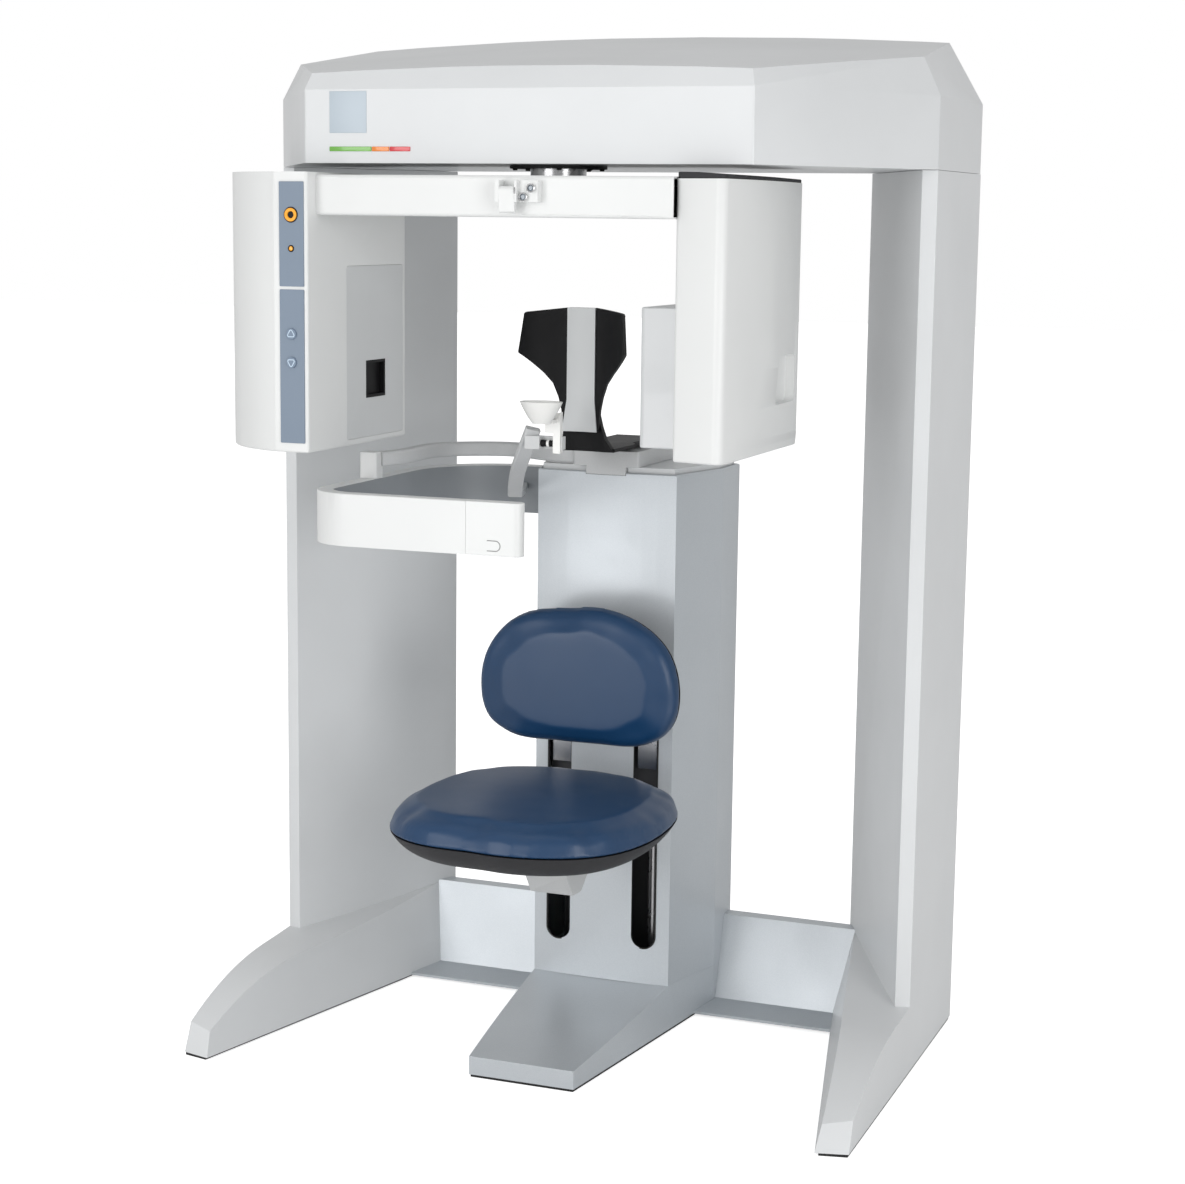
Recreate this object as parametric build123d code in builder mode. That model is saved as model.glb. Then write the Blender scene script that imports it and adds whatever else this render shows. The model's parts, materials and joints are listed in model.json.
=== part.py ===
from build123d import *
import os

# Seated dental panoramic X-ray machine.
#
# A portal of two legs and a beam carries a C-arm that turns about a vertical axis.
# The X-ray source hangs on one end of the arm and the detector on the other.
# A column at the back carries a height-adjustable seat, a head rest, a chin rest
# and a bar that the patient holds.
#
# Millimetres, +Z up, -Y is the front. The origin is the floor point under the C-arm's axis.

# ---------------------------------------------------------------- driving dimensions
# portal
frame_half_width = 610.0        # outside face of a leg
frame_back = 500.0              # back face of legs, beam and column
beam_underside = 1568.0
beam_front = -164.0             # middle facet of the beam
beam_fold = 392.0               # half width of the middle facet
crease_height = beam_underside + 120.0          # the beam's faces lean back above this
crease_lean = 0.5               # sideways run for each millimetre of rise above the crease
roof_front_height = beam_underside + 154.0      # roof height over the middle facet
roof_slope = 0.146              # rise of the roof towards the back
roof_radius = 8800.0            # crown of the roof across the beam
cover_wall = 4.0
leg_front = 158.0               # inner edge of the leg's front strip
leg_strip = 25.0                # width of that strip
leg_toe = 0.507                 # inner face: sideways run for each millimetre of depth
pad_height = 5.0                # rubber under everything that stands on the floor

# feet of the legs
foot_front = -247.0
foot_nose_width = 54.0
foot_toe = 0.2317               # inner side: sideways run for each millimetre of depth
foot_draft = 0.25               # inner side leans out by this for each millimetre of height
foot_rake = 0.5                 # front leans back by this for each millimetre of height
foot_profile = ((-213.0, 52.0), (-100.0, 96.0), (60.0, 122.0))
foot_back_height = 165.0

# floor plates between the legs and the column
flange_front = 321.0
flange_thickness = 5.0
plate_foot = 414.0              # where the upright part meets the flange
plate_top = (462.0, 162.0)

# column
column_front = 248.0
column_half_width = 134.0
column_bow = 6.0
column_flare = (172.0, 403.0)
column_foot_height = 77.0
column_height = 1029.0
column_wall = 3.0
centre_foot_front = -136.0
centre_foot_half_width = 98.0
centre_foot_nose = 38.0
slot_centre = 84.0
slot_width = 46.0
slot_bottom = 145.0

# seat lift
rod_radius = 10.0
rod_depth = 312.0               # y of the guide rods and of the actuator
running_clearance = 0.05
lift_up = 80.0
upright_top = 620.0             # the backrest's uprights end here with the seat at rest
slot_top = upright_top + lift_up + 12.0
seat_arm_bottom = 372.0
seat_arm_height = 36.0
seat_arm_width = 34.0

# seat
seat_half_width = 238.0
seat_front = -322.0
seat_back = 168.0
pan_bottom = 412.0
pan_rim = 455.0
cushion_top = 500.0
back_half_width = 193.0
back_bottom = 549.0
back_top = 802.0
back_front = 92.0
back_cushion_depth = 38.0
back_shell_depth = 14.0
soft_gap = 0.4                  # clearance round the cushions

# C-arm
arm_underside = 1482.0
arm_top = 1548.0
arm_front = -222.0
arm_bow = 14.0
arm_back = 105.0
arm_wall = 3.0
housing_wall = 3.0
source_face = -342.0            # inner face, towards the patient
source_bottom = 1090.0
source_top = 1552.0
source_front = -252.0
detector_face = 282.0
detector_bottom = 1101.0
detector_top = 1549.0
module_face = 185.0
module_half_width = 98.0
module_bottom = 1110.0
module_top = 1340.0
spindle_radius = 47.0
wheel_radius = 150.0
pulley_radius = 30.0
pulley_offset = 290.0           # motor shaft to arm axis, along -X
belt_thickness = 3.0
belt_gap = 0.3

# controls on the source housing
panel_left = -393.0
panel_right = -348.0
panel_thickness = 2.0
upper_panel = (1365.0, 1536.0)
lower_panel = (1106.0, 1360.0)
lamp_x = -371.0
lamp_height = 1482.0
ready_height = 1427.0
up_height = 1287.0
down_height = 1240.0
button_radius = 9.0
button_travel = 1.5

# patient bar, rail and rests
bar_top = 1021.0
bar_bottom = 932.0
bar_thickness = 28.0
bar_front = -215.0
bar_left = -381.0
bar_end = 25.0
bar_cap_length = 98.0
rail_top = 1068.0
rail_height = 26.0
rail_width = 24.0
block_half_width = 64.0
block_front = 241.0
block_back = 440.0
block_height = 29.0
head_slide = 30.0
chin_y = -68.0
chin_rim = 1177.0
chin_slide = 12.0


# ---------------------------------------------------------------- shared forms
def leg_form(inset, bottom, top):
    """Right leg with its foot, every wall moved in by inset."""
    edge = frame_half_width
    strip_inner = (edge - leg_strip, leg_front)
    leg_outline = [
        strip_inner,
        (edge, leg_front + 6),
        (edge, frame_back),
        (strip_inner[0] - leg_toe * (frame_back - leg_front), frame_back),
    ]
    foot_length = frame_back - foot_front

    def foot_outline(height):
        """Four corners of the foot at one height."""
        front = foot_front + foot_rake * height
        shift = foot_draft * height - foot_toe * foot_rake * height
        inner = edge - foot_nose_width + shift
        back_inner = edge - foot_nose_width - foot_toe * foot_length + foot_draft * height
        return [
            (inner, front),
            (edge, front + 0.26 * (edge - inner)),
            (edge, frame_back),
            (back_inner, frame_back),
        ]

    with BuildPart() as form:
        for height in (bottom, foot_back_height + 10):
            with BuildSketch(Plane.XY.offset(height)):
                with BuildLine():
                    Polyline(*foot_outline(height), close=True)
                make_face()
                if inset:
                    offset(amount=-inset, mode=Mode.REPLACE)
        loft()
        first, middle, last = [(y, z - inset) for y, z in foot_profile]
        with BuildSketch(Plane.YZ.offset(frame_half_width + 20)):
            with BuildLine():
                nose = ThreePointArc(first, middle, last)
                TangentArc(nose @ 1, (frame_back + 20, foot_back_height - inset), tangent=nose % 1)
                Polyline(
                    (frame_back + 20, foot_back_height - inset),
                    (frame_back + 20, bottom - 20),
                    (foot_front - 30, bottom - 20),
                    (foot_front - 30, first[1] - 30),
                    first,
                )
            make_face()
        extrude(amount=-frame_half_width, mode=Mode.INTERSECT)
        with BuildSketch(Plane.XY.offset(bottom)):
            with BuildLine():
                Polyline(*leg_outline, close=True)
            make_face()
            if inset:
                offset(amount=-inset, mode=Mode.REPLACE)
        extrude(amount=top - bottom)
    return form.part


def column_outline(inset=0.0):
    """Plan of the column, its walls moved in by inset."""
    with BuildSketch() as plan:
        with BuildLine():
            bow = ThreePointArc(
                (-column_half_width, column_front),
                (0, column_front - column_bow),
                (column_half_width, column_front),
            )
            Polyline(
                bow @ 1,
                column_flare,
                (column_flare[0], frame_back),
                (-column_flare[0], frame_back),
                (-column_flare[0], column_flare[1]),
                bow @ 0,
            )
        make_face()
        if inset:
            offset(amount=-inset, kind=Kind.INTERSECTION, mode=Mode.REPLACE)
    return plan.sketch


def beam_outline(inset=0.0):
    """Plan of the beam's faces, moved in by inset."""
    with BuildSketch() as plan:
        with BuildLine():
            Polyline(
                (-beam_fold, beam_front),
                (beam_fold, beam_front),
                (frame_half_width, leg_front + 6),
                (frame_half_width, frame_back),
                (-frame_half_width, frame_back),
                (-frame_half_width, leg_front + 6),
                close=True,
            )
        make_face()
        if inset:
            offset(amount=-inset, kind=Kind.INTERSECTION, mode=Mode.REPLACE)
    return plan.sketch


def beam_form(inset, bottom):
    """Beam: upright below the crease, leaning back above it, under a crowned sloping roof."""
    rise = 140.0
    margin = 100.0
    half_chord = frame_half_width + margin
    drop = half_chord**2 / (2 * roof_radius)
    roof_plane = Plane(
        origin=(0, beam_front - margin, roof_front_height - inset - margin * roof_slope),
        x_dir=(1, 0, 0),
        z_dir=(0, -1, -roof_slope),
    )
    with BuildPart() as form:
        with BuildSketch(Plane.XY.offset(bottom)):
            add(beam_outline(inset))
        extrude(amount=crease_height - bottom)
        for lean, height in ((inset, crease_height), (inset + crease_lean * rise, crease_height + rise)):
            with BuildSketch(Plane.XY.offset(height)):
                add(beam_outline(lean))
        loft()
        with BuildSketch(roof_plane):
            with BuildLine():
                crown = ThreePointArc((-half_chord, -drop), (0, 0), (half_chord, -drop))
                Polyline(crown @ 1, (half_chord, -400), (-half_chord, -400), crown @ 0)
            make_face()
        extrude(amount=-(frame_back - beam_front + 3 * margin), mode=Mode.INTERSECT)
    return form.part


def centre_foot_form(inset, bottom):
    """Foot in front of the column, flowing into the column's sides."""
    height = column_foot_height - inset

    def outline(level, knee):
        """Plan at one level; knee is the half width where the column starts."""
        half = [
            (centre_foot_half_width, centre_foot_front),
            (knee, column_front),
            column_flare,
            (column_flare[0], frame_back),
        ]
        with BuildSketch(Plane.XY.offset(level)) as plan:
            with BuildLine():
                Polyline(*half, *[(-x, y) for x, y in reversed(half)], close=True)
            make_face()
            if inset:
                offset(amount=-inset, kind=Kind.INTERSECTION, mode=Mode.REPLACE)
        return plan.sketch

    with BuildPart() as form:
        add(outline(bottom, column_half_width + 17))
        add(outline(height, column_half_width))
        loft()
        with BuildSketch(Plane.YZ.offset(-200)):
            with BuildLine():
                Polyline(
                    (centre_foot_front - 20, centre_foot_nose - inset),
                    (centre_foot_front, centre_foot_nose - inset),
                    (column_front, height),
                    (column_front, height + 20),
                    (centre_foot_front - 20, height + 20),
                    close=True,
                )
            make_face()
        extrude(amount=400, mode=Mode.SUBTRACT)
    return form.part


def hung_housing(plan_line, face, side, bottom, top, bulge, inset):
    """Tall rounded box: a plan, trimmed by a gently bulging outer side.

    side is +1 or -1 for the side of the arm, bulge gives the outer x at bottom, middle and top.
    """
    low, middle, high = [x - side * inset for x in bulge]
    with BuildPart() as form:
        with BuildSketch(Plane.XY.offset(bottom + inset)):
            add(plan_line)
            if inset:
                offset(amount=-inset, mode=Mode.REPLACE)
        extrude(amount=top - bottom - 2 * inset)
        with BuildSketch(Plane.XZ.offset(-400)):
            with BuildLine():
                arc = ThreePointArc((low, bottom), (middle, (bottom + top) / 2), (high, top))
                Polyline(arc @ 1, (face - side * 200, top), (face - side * 200, bottom), arc @ 0)
            make_face()
        extrude(amount=800, mode=Mode.INTERSECT)
    return form.part


def mirrored_ring(half):
    """Closed smooth plan through half a ring of points and their mirror images."""
    points = half + [(-x, y) for x, y in reversed(half[1:-1])]
    with BuildSketch() as ring:
        with BuildLine():
            Spline(*points, periodic=True)
        make_face()
    return ring.sketch


def seat_outline(shrink=0.0):
    """Plan of the seat: wide round front, narrower back."""
    width = seat_half_width - shrink
    front = seat_front + shrink
    depth = seat_back - shrink - front
    shares = (
        (0.0, 0.0), (0.46, 0.02), (0.80, 0.125), (0.985, 0.35), (0.985, 0.62), (0.86, 0.83),
        (0.56, 0.955), (0.25, 0.995), (0.0, 1.0),
    )
    return mirrored_ring([(width * x, front + depth * y) for x, y in shares])


def backrest_outline(shrink=0.0):
    """Face of the backrest: high round top, flatter bottom."""
    width = back_half_width - shrink
    bottom = back_bottom + shrink
    height = back_top - shrink - bottom
    shares = (
        (0.0, 1.0), (0.52, 0.945), (0.89, 0.72), (1.0, 0.41), (0.92, 0.16), (0.68, 0.03),
        (0.3, 0.0), (0.0, 0.0),
    )
    return mirrored_ring([(width * x, bottom + height * z) for x, z in shares])


def stepped_panel(x_centre, width, bottom, top, wall):
    """Rear panel: a plate in the opening with a wider flange behind the cover's wall."""
    middle = (bottom + top) / 2
    with BuildPart() as panel:
        with BuildSketch(Plane.XZ.offset(-frame_back)):
            with Locations((x_centre, middle)):
                RectangleRounded(width - 1, top - bottom - 1, 6)
        extrude(amount=wall)
        with BuildSketch(Plane.XZ.offset(-(frame_back - wall))):
            with Locations((x_centre, middle)):
                RectangleRounded(width + 16, top - bottom + 16, 6)
        extrude(amount=2)
    return panel.part


def y_plane(y):
    """Upright plane at y, its normal towards the front."""
    return Plane.XZ.offset(-y)


# ---------------------------------------------------------------- portal
reveal = 0.6                    # shadow line between covers
leg_cover_top = beam_underside - reveal
rear_panel_margin = 70.0
leg_panel = (frame_half_width - 96.0, 120.0)  # centre and width
leg_panel_heights = (200.0, beam_underside - 88.0)
column_panel_width = 280.0
column_panel_heights = (110.0, 980.0)
post_centre = (frame_half_width - 50.0, 400.0)
post_size = 70.0
post_wall = 4.0
base_plate = 10.0
base_tube = (466.0, 494.0, 60.0)  # front, back and height of the rear cross tube
beam_frame_bottom = beam_underside + 12.0
beam_tube = 60.0
bearing_plate = (beam_frame_bottom + beam_tube, beam_frame_bottom + beam_tube + 10.0)
frame_edge = post_centre[0] + post_size / 2

with BuildPart() as beam_cover:
    add(beam_form(0, beam_underside))
    fillet(beam_cover.edges().filter_by(Axis.Z), 5)
    add(beam_form(cover_wall, beam_underside - 1), mode=Mode.SUBTRACT)

with BuildPart() as beam_floor_panel:
    with BuildSketch(Plane.XY.offset(beam_underside)):
        add(beam_outline(cover_wall))
        Circle(83, mode=Mode.SUBTRACT)
        with Locations((post_centre[0], post_centre[1]), (-post_centre[0], post_centre[1])):
            Rectangle(post_size + 2, post_size + 2, mode=Mode.SUBTRACT)
    extrude(amount=3)
    with BuildSketch(Plane.XY.offset(beam_underside)):
        with Locations((-360, -100), (-200, -100), (200, -100), (360, -100), (-200, 300), (200, 300)):
            Circle(10)
    extrude(amount=beam_frame_bottom - beam_underside)

with BuildPart() as right_leg_cover:
    add(leg_form(0, pad_height, leg_cover_top))
    add(leg_form(cover_wall, pad_height - 1, leg_cover_top + 1), mode=Mode.SUBTRACT)
    with BuildSketch(y_plane(frame_back + 10)):
        with Locations((leg_panel[0], sum(leg_panel_heights) / 2)):
            RectangleRounded(leg_panel[1], leg_panel_heights[1] - leg_panel_heights[0], 6)
    extrude(amount=30, mode=Mode.SUBTRACT)
    with BuildSketch(Plane.YZ.offset(frame_half_width - 310)):
        with Locations(((base_tube[0] + base_tube[1]) / 2, pad_height + base_tube[2] / 2)):
            Rectangle(base_tube[1] - base_tube[0] + 2, base_tube[2] + 12)
    extrude(amount=200, mode=Mode.SUBTRACT)

with BuildPart() as left_leg_cover:
    mirror(right_leg_cover.part, about=Plane.YZ)

with BuildPart() as leg_posts:
    for side in (-1, 1):
        with BuildSketch(Plane.XY.offset(pad_height + base_plate)):
            with Locations((side * post_centre[0], post_centre[1])):
                Rectangle(post_size, post_size)
                Rectangle(post_size - 2 * post_wall, post_size - 2 * post_wall, mode=Mode.SUBTRACT)
        extrude(amount=beam_frame_bottom - pad_height - base_plate)

# each member of the beam's frame: x range and y range
frame_members = (
    ((-frame_edge, frame_edge), (post_centre[1] - post_size / 2, post_centre[1] + post_size / 2)),
    ((-385, 385), (-130, -130 + beam_tube)),
    ((170, 170 + beam_tube), (-100, 380)),
    ((-230, -230 + beam_tube), (-100, 380)),
)
with BuildPart() as beam_frame:
    for shrink, mode in ((0.0, Mode.ADD), (post_wall, Mode.SUBTRACT)):
        for (x0, x1), (y0, y1) in frame_members:
            with BuildSketch(Plane.XY.offset(beam_frame_bottom + shrink)):
                with Locations(((x0 + x1) / 2, (y0 + y1) / 2)):
                    Rectangle(x1 - x0 - 2 * shrink, y1 - y0 - 2 * shrink)
            extrude(amount=beam_tube - 2 * shrink, mode=mode)
    with BuildSketch(Plane.XY.offset(bearing_plate[0])):
        with Locations((-60, -5)):
            Rectangle(580, 250)
        Circle(spindle_radius + 1, mode=Mode.SUBTRACT)
        with Locations((-pulley_offset, 0)):
            Circle(12, mode=Mode.SUBTRACT)
    extrude(amount=bearing_plate[1] - bearing_plate[0])

with BuildPart() as base_frame:
    for side in (-1, 1):
        with BuildSketch(Plane.XY.offset(pad_height)) as foot_plate:
            with BuildLine():
                Polyline(
                    (side * (frame_half_width - 30), -200),
                    (side * (frame_half_width - 10), -200),
                    (side * (frame_half_width - 10), base_tube[1]),
                    (side * (frame_half_width - 180), base_tube[1]),
                    (side * (frame_half_width - 160), 320),
                    close=True,
                )
            make_face()
        extrude(amount=base_plate)
    with BuildSketch(Plane.XY.offset(pad_height)):
        with Locations((0, 190)):
            Rectangle(150, 608)
    extrude(amount=base_plate)
    with BuildSketch(Plane.XY.offset(pad_height)):
        with Locations((0, (base_tube[0] + base_tube[1]) / 2)):
            Rectangle(2 * (frame_half_width - 20), base_tube[1] - base_tube[0])
    extrude(amount=base_tube[2])

pad_half = [(96, -133), (148.5, 248), (169, 403), (169, 497)]
with BuildPart() as floor_pads:
    for side in (-1, 1):
        with BuildSketch():
            with BuildLine():
                Polyline(
                    (side * (frame_half_width - 48), -240),
                    (side * (frame_half_width - 2), -230),
                    (side * (frame_half_width - 2), 497),
                    (side * (frame_half_width - 214), 497),
                    (side * (frame_half_width - 174), 300),
                    close=True,
                )
            make_face()
        extrude(amount=pad_height)
    with BuildSketch():
        with BuildLine():
            Polyline(*pad_half, *[(-x, y) for x, y in reversed(pad_half)], close=True)
        make_face()
    extrude(amount=pad_height)

with BuildPart() as centre_foot:
    add(centre_foot_form(0, pad_height))
    add(centre_foot_form(cover_wall, pad_height - 1), mode=Mode.SUBTRACT)
    with BuildSketch(Plane.XY.offset(column_foot_height - cover_wall - 5)):
        add(column_outline(9))
    extrude(amount=cover_wall + 10, mode=Mode.SUBTRACT)
    with BuildSketch(Plane.YZ.offset(-250)):
        with Locations(((base_tube[0] + base_tube[1]) / 2, pad_height + base_tube[2] / 2)):
            Rectangle(base_tube[1] - base_tube[0] + 2, base_tube[2] + 2)
    extrude(amount=500, mode=Mode.SUBTRACT)

with BuildPart() as cross_plates:
    for side in (-1, 1):
        with BuildSketch(Plane.YZ.offset(side * 100)):
            with BuildLine():
                Polyline(
                    (flange_front, pad_height),
                    (plate_foot + 3, pad_height),
                    (plate_top[0] + 3, plate_top[1] - 3),
                    (plate_top[0] + 30, plate_top[1] - 3),
                    (plate_top[0] + 30, plate_top[1]),
                    (plate_top[0], plate_top[1]),
                    (plate_foot, pad_height + flange_thickness),
                    (flange_front, pad_height + flange_thickness),
                    close=True,
                )
            make_face()
        extrude(amount=side * 480)
    add(leg_form(0, pad_height - 2, 400), mode=Mode.SUBTRACT)
    add(mirror(leg_form(0, pad_height - 2, 400), about=Plane.YZ, mode=Mode.PRIVATE), mode=Mode.SUBTRACT)
    add(centre_foot_form(0, pad_height), mode=Mode.SUBTRACT)
    with BuildSketch():
        add(column_outline())
    extrude(amount=400, mode=Mode.SUBTRACT)

# ---------------------------------------------------------------- column
shelf_bottom = (82.0, 92.0)
shelf_top = (1014.0, 1024.0)
frame_plate = (352.0, 360.0)
tab_half_width = 38.0
tab_depth = 21.0
cap_bottom = shelf_top[1]
cap_top = 1039.0

with BuildPart() as column_cover:
    with BuildSketch(Plane.XY.offset(column_foot_height)):
        add(column_outline())
    extrude(amount=column_height - column_foot_height)
    chamfer(column_cover.edges().group_by(Axis.Z)[-1], 2)
    with BuildSketch(Plane.XY.offset(column_foot_height - 1)):
        add(column_outline(column_wall))
    extrude(amount=column_height, mode=Mode.SUBTRACT)
    with BuildSketch(y_plane(column_front + 40)):
        for side in (-1, 1):
            with Locations((side * slot_centre, (slot_bottom + slot_top) / 2)):
                SlotOverall(slot_top - slot_bottom, slot_width, rotation=90)
        with Locations((0, column_height)):
            Rectangle(2 * tab_half_width + 2, 2 * (column_height - cap_bottom) + 1)
    extrude(amount=80, mode=Mode.SUBTRACT)
    with BuildSketch(y_plane(frame_back + 10)):
        with Locations((0, sum(column_panel_heights) / 2)):
            RectangleRounded(column_panel_width, column_panel_heights[1] - column_panel_heights[0], 6)
    extrude(amount=40, mode=Mode.SUBTRACT)

inlet_height = 170.0
inlet_size = (52.0, 30.0)
with BuildPart() as rear_panels:
    add(stepped_panel(0, column_panel_width, *column_panel_heights, column_wall))
    for side in (-1, 1):
        add(stepped_panel(side * leg_panel[0], leg_panel[1], *leg_panel_heights, cover_wall))
    with BuildSketch(y_plane(frame_back + 5)):
        with Locations((0, inlet_height)):
            Rectangle(inlet_size[0] + 0.6, inlet_size[1] + 0.6)
    extrude(amount=30, mode=Mode.SUBTRACT)

with BuildPart() as power_inlet:
    with BuildSketch(y_plane(frame_back)):
        with Locations((0, inlet_height)):
            Rectangle(*inlet_size)
    extrude(amount=26)
    with BuildSketch(y_plane(frame_back - column_wall - 2)):
        with Locations((0, inlet_height)):
            Rectangle(inlet_size[0] + 10, inlet_size[1] + 10)
    extrude(amount=3)
    with BuildSketch(y_plane(frame_back)):
        with Locations((0, inlet_height)):
            RectangleRounded(inlet_size[0] - 18, inlet_size[1] - 8, 4)
    extrude(amount=18, mode=Mode.SUBTRACT)
    with BuildSketch(y_plane(frame_back - 18)):
        with Locations((-9, inlet_height), (0, inlet_height + 4), (9, inlet_height)):
            Rectangle(2, 5)
    extrude(amount=-12)

with BuildPart() as column_top_cap:
    with BuildSketch(Plane.XY.offset(cap_bottom)):
        add(column_outline(8))
    extrude(amount=cap_top - cap_bottom)
    with BuildSketch(Plane.XY.offset(cap_bottom - 1)):
        with Locations((0, block_front)):
            Rectangle(2 * tab_half_width + 1, 2 * tab_depth + 1)
    extrude(amount=cap_top, mode=Mode.SUBTRACT)

with BuildPart() as column_frame:
    with BuildSketch(Plane.XY.offset(pad_height + base_plate)):
        with Locations((0, (frame_plate[0] + frame_plate[1]) / 2)):
            Rectangle(230, frame_plate[1] - frame_plate[0])
    extrude(amount=shelf_top[1] - pad_height - base_plate)
    for low, high in (shelf_bottom, shelf_top):
        with BuildSketch(Plane.XY.offset(low)):
            with Locations((0, frame_plate[0] - 33)):
                Rectangle(210, 66)
        extrude(amount=high - low)
    with BuildSketch(Plane.XY.offset(pad_height + base_plate)):
        with Locations((0, frame_plate[0] - 35)):
            Rectangle(10, 66)
    extrude(amount=shelf_bottom[0] - pad_height - base_plate)

with BuildPart() as guide_rods:
    with BuildSketch(Plane.XY.offset(shelf_bottom[1])):
        with Locations((-80, rod_depth), (80, rod_depth)):
            Circle(rod_radius)
    extrude(amount=shelf_top[0] - shelf_bottom[1])

actuator_radius = 24.0
actuator_top = 430.0
actuator_rod_radius = 12.0
actuator_bore_bottom = 104.0
rod_bottom = 230.0
bracket_bottom = 565.0
with BuildPart() as lift_actuator_tube:
    with BuildSketch(Plane.XY.offset(shelf_bottom[1])):
        with Locations((0, rod_depth)):
            Circle(actuator_radius)
    extrude(amount=actuator_top - shelf_bottom[1])
    with BuildSketch(Plane.XY.offset(actuator_bore_bottom)):
        with Locations((0, rod_depth)):
            Circle(actuator_rod_radius + running_clearance)
    extrude(amount=actuator_top, mode=Mode.SUBTRACT)

with BuildPart() as actuator_rod:
    with BuildSketch(Plane.XY.offset(rod_bottom)):
        with Locations((0, rod_depth)):
            Circle(actuator_rod_radius)
    extrude(amount=bracket_bottom - rod_bottom)

with BuildPart() as power_supply:
    with BuildSketch(Plane.XY.offset(420)):
        with Locations((0, frame_plate[1] + 45)):
            RectangleRounded(160, 90, 6)
    extrude(amount=300)

# ---------------------------------------------------------------- seat
carriage = (272.0, 282.0)       # front and back of the carriage plate
block_levels = ((360.0, 430.0), (620.0, 690.0))
bore_depth = 24.0

with BuildPart() as seat_carriage:
    with BuildSketch(y_plane(carriage[0])):
        with Locations((0, 525)):
            RectangleRounded(224, 350, 8)
    extrude(amount=-(carriage[1] - carriage[0]))
    for low, high in block_levels:
        with BuildSketch(Plane.XY.offset(low)):
            with Locations((-80, carriage[1] + 25), (80, carriage[1] + 25)):
                Rectangle(48, 52)
        extrude(amount=high - low)
    with BuildSketch(Plane.XY.offset(bracket_bottom)):
        with Locations((0, carriage[1] + 24)):
            Rectangle(50, 50)
    extrude(amount=15)
    with BuildSketch(Plane.XY.offset(300)):
        with Locations((-80, rod_depth), (80, rod_depth)):
            Circle(rod_radius + running_clearance)
    extrude(amount=500, mode=Mode.SUBTRACT)

with BuildPart() as seat_frame:
    with BuildSketch(Plane.XY.offset(seat_arm_bottom)):
        with Locations((-slot_centre, 101), (slot_centre, 101)):
            Rectangle(seat_arm_width, 2 * (carriage[0] - 101))
    extrude(amount=seat_arm_height)
    fillet(seat_frame.edges().filter_by(Axis.Y), 4)
    with BuildSketch(Plane.XY.offset(pan_bottom - 10)):
        Rectangle(2 * slot_centre + seat_arm_width, 130)
    extrude(amount=10)
    with BuildSketch(Plane.YZ.offset(-40)):
        with BuildLine():
            Polyline((-32, 406), (-32, 350), (0, 306), (40, 304), (88, 342), (96, 406), close=True)
        make_face()
    extrude(amount=80)
    with BuildSketch(Plane.XY.offset(pan_bottom - 10)):
        with Locations((0, 80)):
            Rectangle(80, 40)
    extrude(amount=10)

with BuildPart() as seat_pan:
    for level, shrink in ((pan_bottom, 62), (pan_bottom + 18, 26), (pan_rim, 6)):
        with BuildSketch(Plane.XY.offset(level)):
            add(seat_outline(shrink))
    loft()
    with BuildSketch(Plane.XY.offset(pan_bottom + 6)):
        add(seat_outline(66))
    with BuildSketch(Plane.XY.offset(pan_rim + 1)):
        add(seat_outline(12))
    loft(mode=Mode.SUBTRACT)

with BuildPart() as seat_cushion:
    with BuildSketch(Plane.XY.offset(pan_rim + soft_gap)):
        add(seat_outline())
    extrude(amount=cushion_top - pan_rim - soft_gap)
    fillet(seat_cushion.edges().group_by(Axis.Z)[-1], 18)
    fillet(seat_cushion.edges().group_by(Axis.Z)[0], 8)

back_shell_front = back_front + back_cushion_depth + soft_gap
back_shell_back = back_shell_front + back_shell_depth
with BuildPart() as backrest_cushion:
    with BuildSketch(y_plane(back_front + back_cushion_depth)):
        add(backrest_outline())
    extrude(amount=back_cushion_depth)
    fillet(backrest_cushion.edges().group_by(Axis.Y)[0], 16)
    fillet(backrest_cushion.edges().group_by(Axis.Y)[-1], 6)

with BuildPart() as backrest_shell:
    for depth, shrink in ((back_shell_front, 5), (back_shell_back, 24)):
        with BuildSketch(y_plane(depth)):
            add(backrest_outline(shrink))
    loft()

# the bars stand behind the slots, their arms go through them
back_bar_front = 254.0
back_arm = (560.0, 600.0)
upright_bottom = 484.0
with BuildPart() as backrest_frame:
    for side in (-1, 1):
        with BuildSketch(Plane.XY.offset(upright_bottom)):
            with Locations((side * slot_centre, (back_bar_front + carriage[0]) / 2)):
                Rectangle(36, carriage[0] - back_bar_front)
        extrude(amount=upright_top - upright_bottom)
        with BuildSketch(Plane.XY.offset(back_arm[0])):
            with Locations((side * slot_centre, (back_shell_back + back_bar_front) / 2)):
                Rectangle(30, back_bar_front - back_shell_back)
        extrude(amount=back_arm[1] - back_arm[0])
    with BuildSketch(y_plane(back_shell_back)):
        with Locations((0, 630)):
            RectangleRounded(230, 150, 10)
    extrude(amount=-6)

# ---------------------------------------------------------------- drive in the beam
wheel_levels = (bearing_plate[1] + 5.0, bearing_plate[1] + 25.0)
belt_levels = (wheel_levels[0] + 2.0, wheel_levels[1] - 2.0)
shaft_radius = 6.0
motor_bore_bottom = beam_frame_bottom + 18.0

with BuildPart() as gantry_bearing:
    with BuildSketch(Plane.XY.offset(beam_underside - 5)):
        Circle(82)
    extrude(amount=7)
    with BuildSketch(Plane.XY.offset(beam_underside)):
        Circle(66)
    extrude(amount=bearing_plate[0] - beam_underside)
    with BuildSketch(Plane.XY.offset(beam_underside - 10)):
        Circle(spindle_radius + running_clearance)
    extrude(amount=100, mode=Mode.SUBTRACT)

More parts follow.
